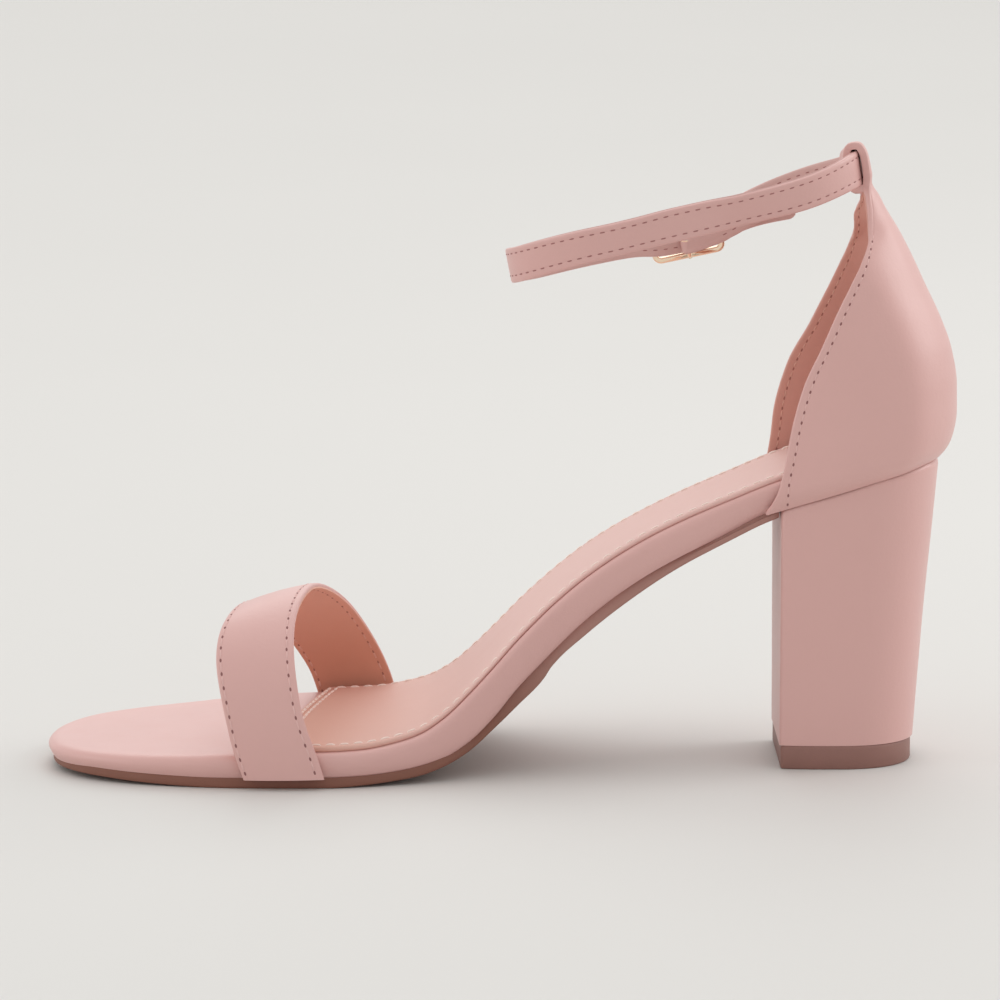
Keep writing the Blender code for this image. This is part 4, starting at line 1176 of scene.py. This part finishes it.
def rubber(name, color, other, roughness):
    """Matte rubber with ribs underneath and fine grit."""
    made, surface, where = material(name, color, other, roughness, RUBBER_MOTTLE, RUBBER_GLOSS)
    relief(made, surface, (tread(made, where), *RUBBER_RIBS), bumpy(made, where, RUBBER_GRIT))
    return made


def plated(name, color, roughness):
    made, surface, where = material(name, color, None, roughness, change=PLATE_GLOSS, metallic=1)
    relief(made, surface, bumpy(made, where, PLATE_WAVES))
    return made


def twine(name, color, other):
    made, surface, where = material(name, color, other, THREAD_ROUGHNESS, THREAD_MOTTLE)
    relief(made, surface, bumpy(made, where, THREAD_TWIST))
    return made


# Colour, the tone that it varies to, a leather's grain, roughness and a leather's coat
PINK = leather("blush_leather", (0.71, 0.415, 0.385), (0.735, 0.44, 0.41), 1500, 0.42)
HEEL_COVER = leather("heel_cover", (0.71, 0.415, 0.385), (0.73, 0.435, 0.405), 1500, 0.40)
SOCK = leather("sock_leather", (0.71, 0.40, 0.33), None, 1700, 0.58, 0.05)
# Painted reflected light: from the ball back, the sock turns lighter and pinker than its own peach.
drift(SOCK, "X", (0.72, 0.41, 0.325), (0.77, 0.50, 0.455), (-0.06, 0.005))
VAMP_INNER = leather("vamp_lining", (0.69, 0.36, 0.265), None, 1900, 0.6, 0.05)
# Painted shade: the vamp lining is darker terracotta low down, where shade falls, and lighter peach at the
# top.
drift(VAMP_INNER, "Z", (0.66, 0.33, 0.235), (0.78, 0.46, 0.36), (0.016, 0.042))
CUP_INNER = leather("counter_lining", (0.68, 0.355, 0.29), (0.71, 0.375, 0.31), 1900, 0.6, 0.05)
STRAP_INNER = leather("strap_lining", (0.67, 0.42, 0.39), (0.70, 0.45, 0.42), 1900, 0.55)
SOLE = rubber("outsole_rubber", (0.255, 0.105, 0.075), None, 0.55)
# Painted light: the outsole turns lighter and pinker along the shank, for light thrown up from the pale
# floor.
drift(SOLE, "X", (0.245, 0.098, 0.066), (0.42, 0.215, 0.18), (-0.005, 0.02))
LIFT = rubber("lift_rubber", (0.275, 0.135, 0.11), (0.305, 0.15, 0.125), 0.5)
GOLD = plated("rose_gold", (1, 0.79, 0.59), 0.18)
PINK_THREAD = twine("pink_thread", (0.80, 0.52, 0.49), (0.74, 0.46, 0.43))
# Painted shade: this thread is dark mauve for the shade in the strap's recessed stitches.
SHADE_PAINTED_THREAD = twine("shade_painted_thread", (0.40, 0.175, 0.165), (0.36, 0.15, 0.14))
INNER_THREAD = twine("inner_thread", (0.76, 0.46, 0.37), (0.70, 0.40, 0.32))
LIGHT_THREAD = twine("light_thread", (0.95, 0.79, 0.72), (0.89, 0.71, 0.64))
# Painted shade: these dark colours stand in for the shade inside needle holes and punched holes.
NEEDLE_HOLE_SHADE = material("painted_hole_shade", (0.27, 0.115, 0.11), None, HOLE_ROUGHNESS)[0]
INNER_HOLE_SHADE = material("inner_painted_hole_shade", (0.40, 0.17, 0.14), None, HOLE_ROUGHNESS)[0]

# Sole and heel of the sandal

piece("outsole_tread", outsole(), SOLE, "outsole")
piece("board_cover", board(), PINK, "board")
piece("sock_cover", sock(), SOCK, "sock")
piece("heel_wrap", heel(), HEEL_COVER, "heel_block")
piece("heel_top_piece", lift(), LIFT, "heel_lift")

# Vamp strap of the sandal

face, normal, under = vamp_face()
upper, lining = layers(face, normal, under, LEATHER, LEATHER + LINING, VAMP_ROLL)
piece("vamp_upper", slab(*upper), PINK, "vamp_strap")
piece("vamp_lining", slab(*lining), VAMP_INNER)
sheet = stretch_of(face, normal, VAMP_STITCHED)
seamed("vamp", sheet, VAMP_STITCH, PINK_THREAD, "blush_leather", NEEDLE_HOLE_SHADE)
sheet = behind(*sheet, LEATHER + LINING)
seamed("vamp_lining", sheet, VAMP_STITCH, INNER_THREAD, "sock_leather", INNER_HOLE_SHADE)

# Counter of the sandal

face, normal = counter_face()
upper, lining = counter_grids(face, normal)
piece("counter_upper", slab(*upper), PINK, "counter")
piece("counter_lining", slab(*lining), CUP_INNER)
sheet = stretch_of(face, normal, COUNTER_STITCHED)
seamed("counter", sheet, COUNTER_STITCH, PINK_THREAD, "blush_leather", NEEDLE_HOLE_SHADE)
sheet = behind(*stretch_of(face, normal, LINING_SPAN), COUNTER_LEATHER + COUNTER_LINING)
seamed("counter_lining", sheet, COUNTER_STITCH, INNER_THREAD, "sock_leather", INNER_HOLE_SHADE)

# Ankle strap and buckle of the sandal

upper, lining, normal = strap_grids()
piece("ankle_strap_upper", slab(*upper), PINK, "ankle_strap")
piece("ankle_strap_lining", slab(*lining), STRAP_INNER)
start = np.searchsorted(run_of(upper[0][:, upper[0].shape[1] // 2]), STRAP_STITCHED_FROM)
sheet = upper[0][start:], normal[start:]
# The strap's stitches are darkened with painted shade.
seamed("ankle_strap", sheet, STRAP_STITCH, SHADE_PAINTED_THREAD, "blush_leather")
sheet = lining[1][start:], -normal[start:]
seamed("ankle_strap_lining", sheet, STRAP_LINING_STITCH, SHADE_PAINTED_THREAD, "sock_leather")
# The punched holes are dark lenses of painted shade.
holes = joined([punched(upper[0], normal), punched(lining[1], -normal)])
piece("ankle_strap_punched_hole_shades", holes, NEEDLE_HOLE_SHADE)

buckle = piece("buckle_ring", buckle_ring(), GOLD, "buckle_frame")
unite(buckle, piece("buckle_pivot", buckle_pivot(), GOLD))
piece("buckle_tongue", prong(), GOLD, "buckle_prong")

stitched("sock", sock_seams(), SOCK_STITCH, LIGHT_THREAD, "sock_leather")


# Floor, light and camera, in metres

CAMERA_AZIMUTH = -0.9
CAMERA_ELEVATION = 9.25
CAMERA_DISTANCE = 1.7
CAMERA_TARGET = Vector((0, 0, 0.06585))
CAMERA_LENS = 241.9
CAMERA_SENSOR = 36
CAMERA_REACH = 100
# Lights: place, width, power in watts and colour
LAMPS = table(
    "name place width watts color",
    ("top", (0.1, 0.3, 1.6), 1.6, 2.7, (1, 0.99, 0.98)),
    ("left", (-1.35, -0.3, 0.45), 0.7, 2.1, (1, 0.98, 0.96)),
    ("right_back", (1.25, 0.35, 0.65), 0.8, 4.6, (1, 0.99, 0.99)),
    ("backdrop", (0, 2.4, 1.8), 2, 9, (1, 0.99, 0.97)),
)
SKY_FRONT = (0.69, 0.685, 0.675)
SKY_BACK = (0.93, 0.925, 0.91)
FLOOR_HALF = 15
FLOOR_COLOR = (0.70, 0.69, 0.67)
FLOOR_OTHER = (0.72, 0.71, 0.69)
FLOOR_ROUGHNESS = 0.7


def stage_floor():
    data = bpy.data.meshes.new("floor")
    corners = [(x * FLOOR_HALF, y * FLOOR_HALF, 0) for x, y in ((-1, -1), (1, -1), (1, 1), (-1, 1))]
    data.from_pydata(corners, [], [(0, 1, 2, 3)])
    data.materials.append(material("floor", FLOOR_COLOR, FLOOR_OTHER, FLOOR_ROUGHNESS, FLOOR_MOTTLE)[0])
    floor = shown("floor", data)


def aimed(name, data, spot, ahead):
    """A light or camera at a spot, turned to look ahead."""
    made = shown(name, data)
    made.location = spot
    made.rotation_euler = ahead.to_track_quat("-Z", "Y").to_euler()
    return made


def lamp(row):
    data = bpy.data.lights.new(row.name, "AREA")
    data.shape = "DISK"
    data.size = row.width
    data.energy = row.watts
    data.color = row.color
    aimed(row.name, data, row.place, CAMERA_TARGET - Vector(row.place))


def camera():
    a, e = np.radians([CAMERA_AZIMUTH, CAMERA_ELEVATION])
    back = Vector((np.sin(a) * np.cos(e), -np.cos(a) * np.cos(e), np.sin(e)))
    data = bpy.data.cameras.new("camera")
    data.lens = CAMERA_LENS
    data.sensor_width = CAMERA_SENSOR
    data.clip_end = CAMERA_REACH
    bpy.context.scene.camera = aimed("camera", data, CAMERA_TARGET + back * CAMERA_DISTANCE, -back)


def sky():
    """An even sky, brighter behind the sandal than on the camera's side."""
    world = bpy.data.worlds.new("studio")
    world.use_nodes = True
    share = share_along(world, place(world)["Generated"], "Y", (-1, 1))
    tone(world, world.node_tree.nodes["Background"].inputs["Color"], SKY_FRONT, SKY_BACK, share)
    bpy.context.scene.world = world


stage_floor()
for row in LAMPS:
    lamp(row)
camera()
sky()
bpy.context.scene.view_settings.view_transform = "Standard"
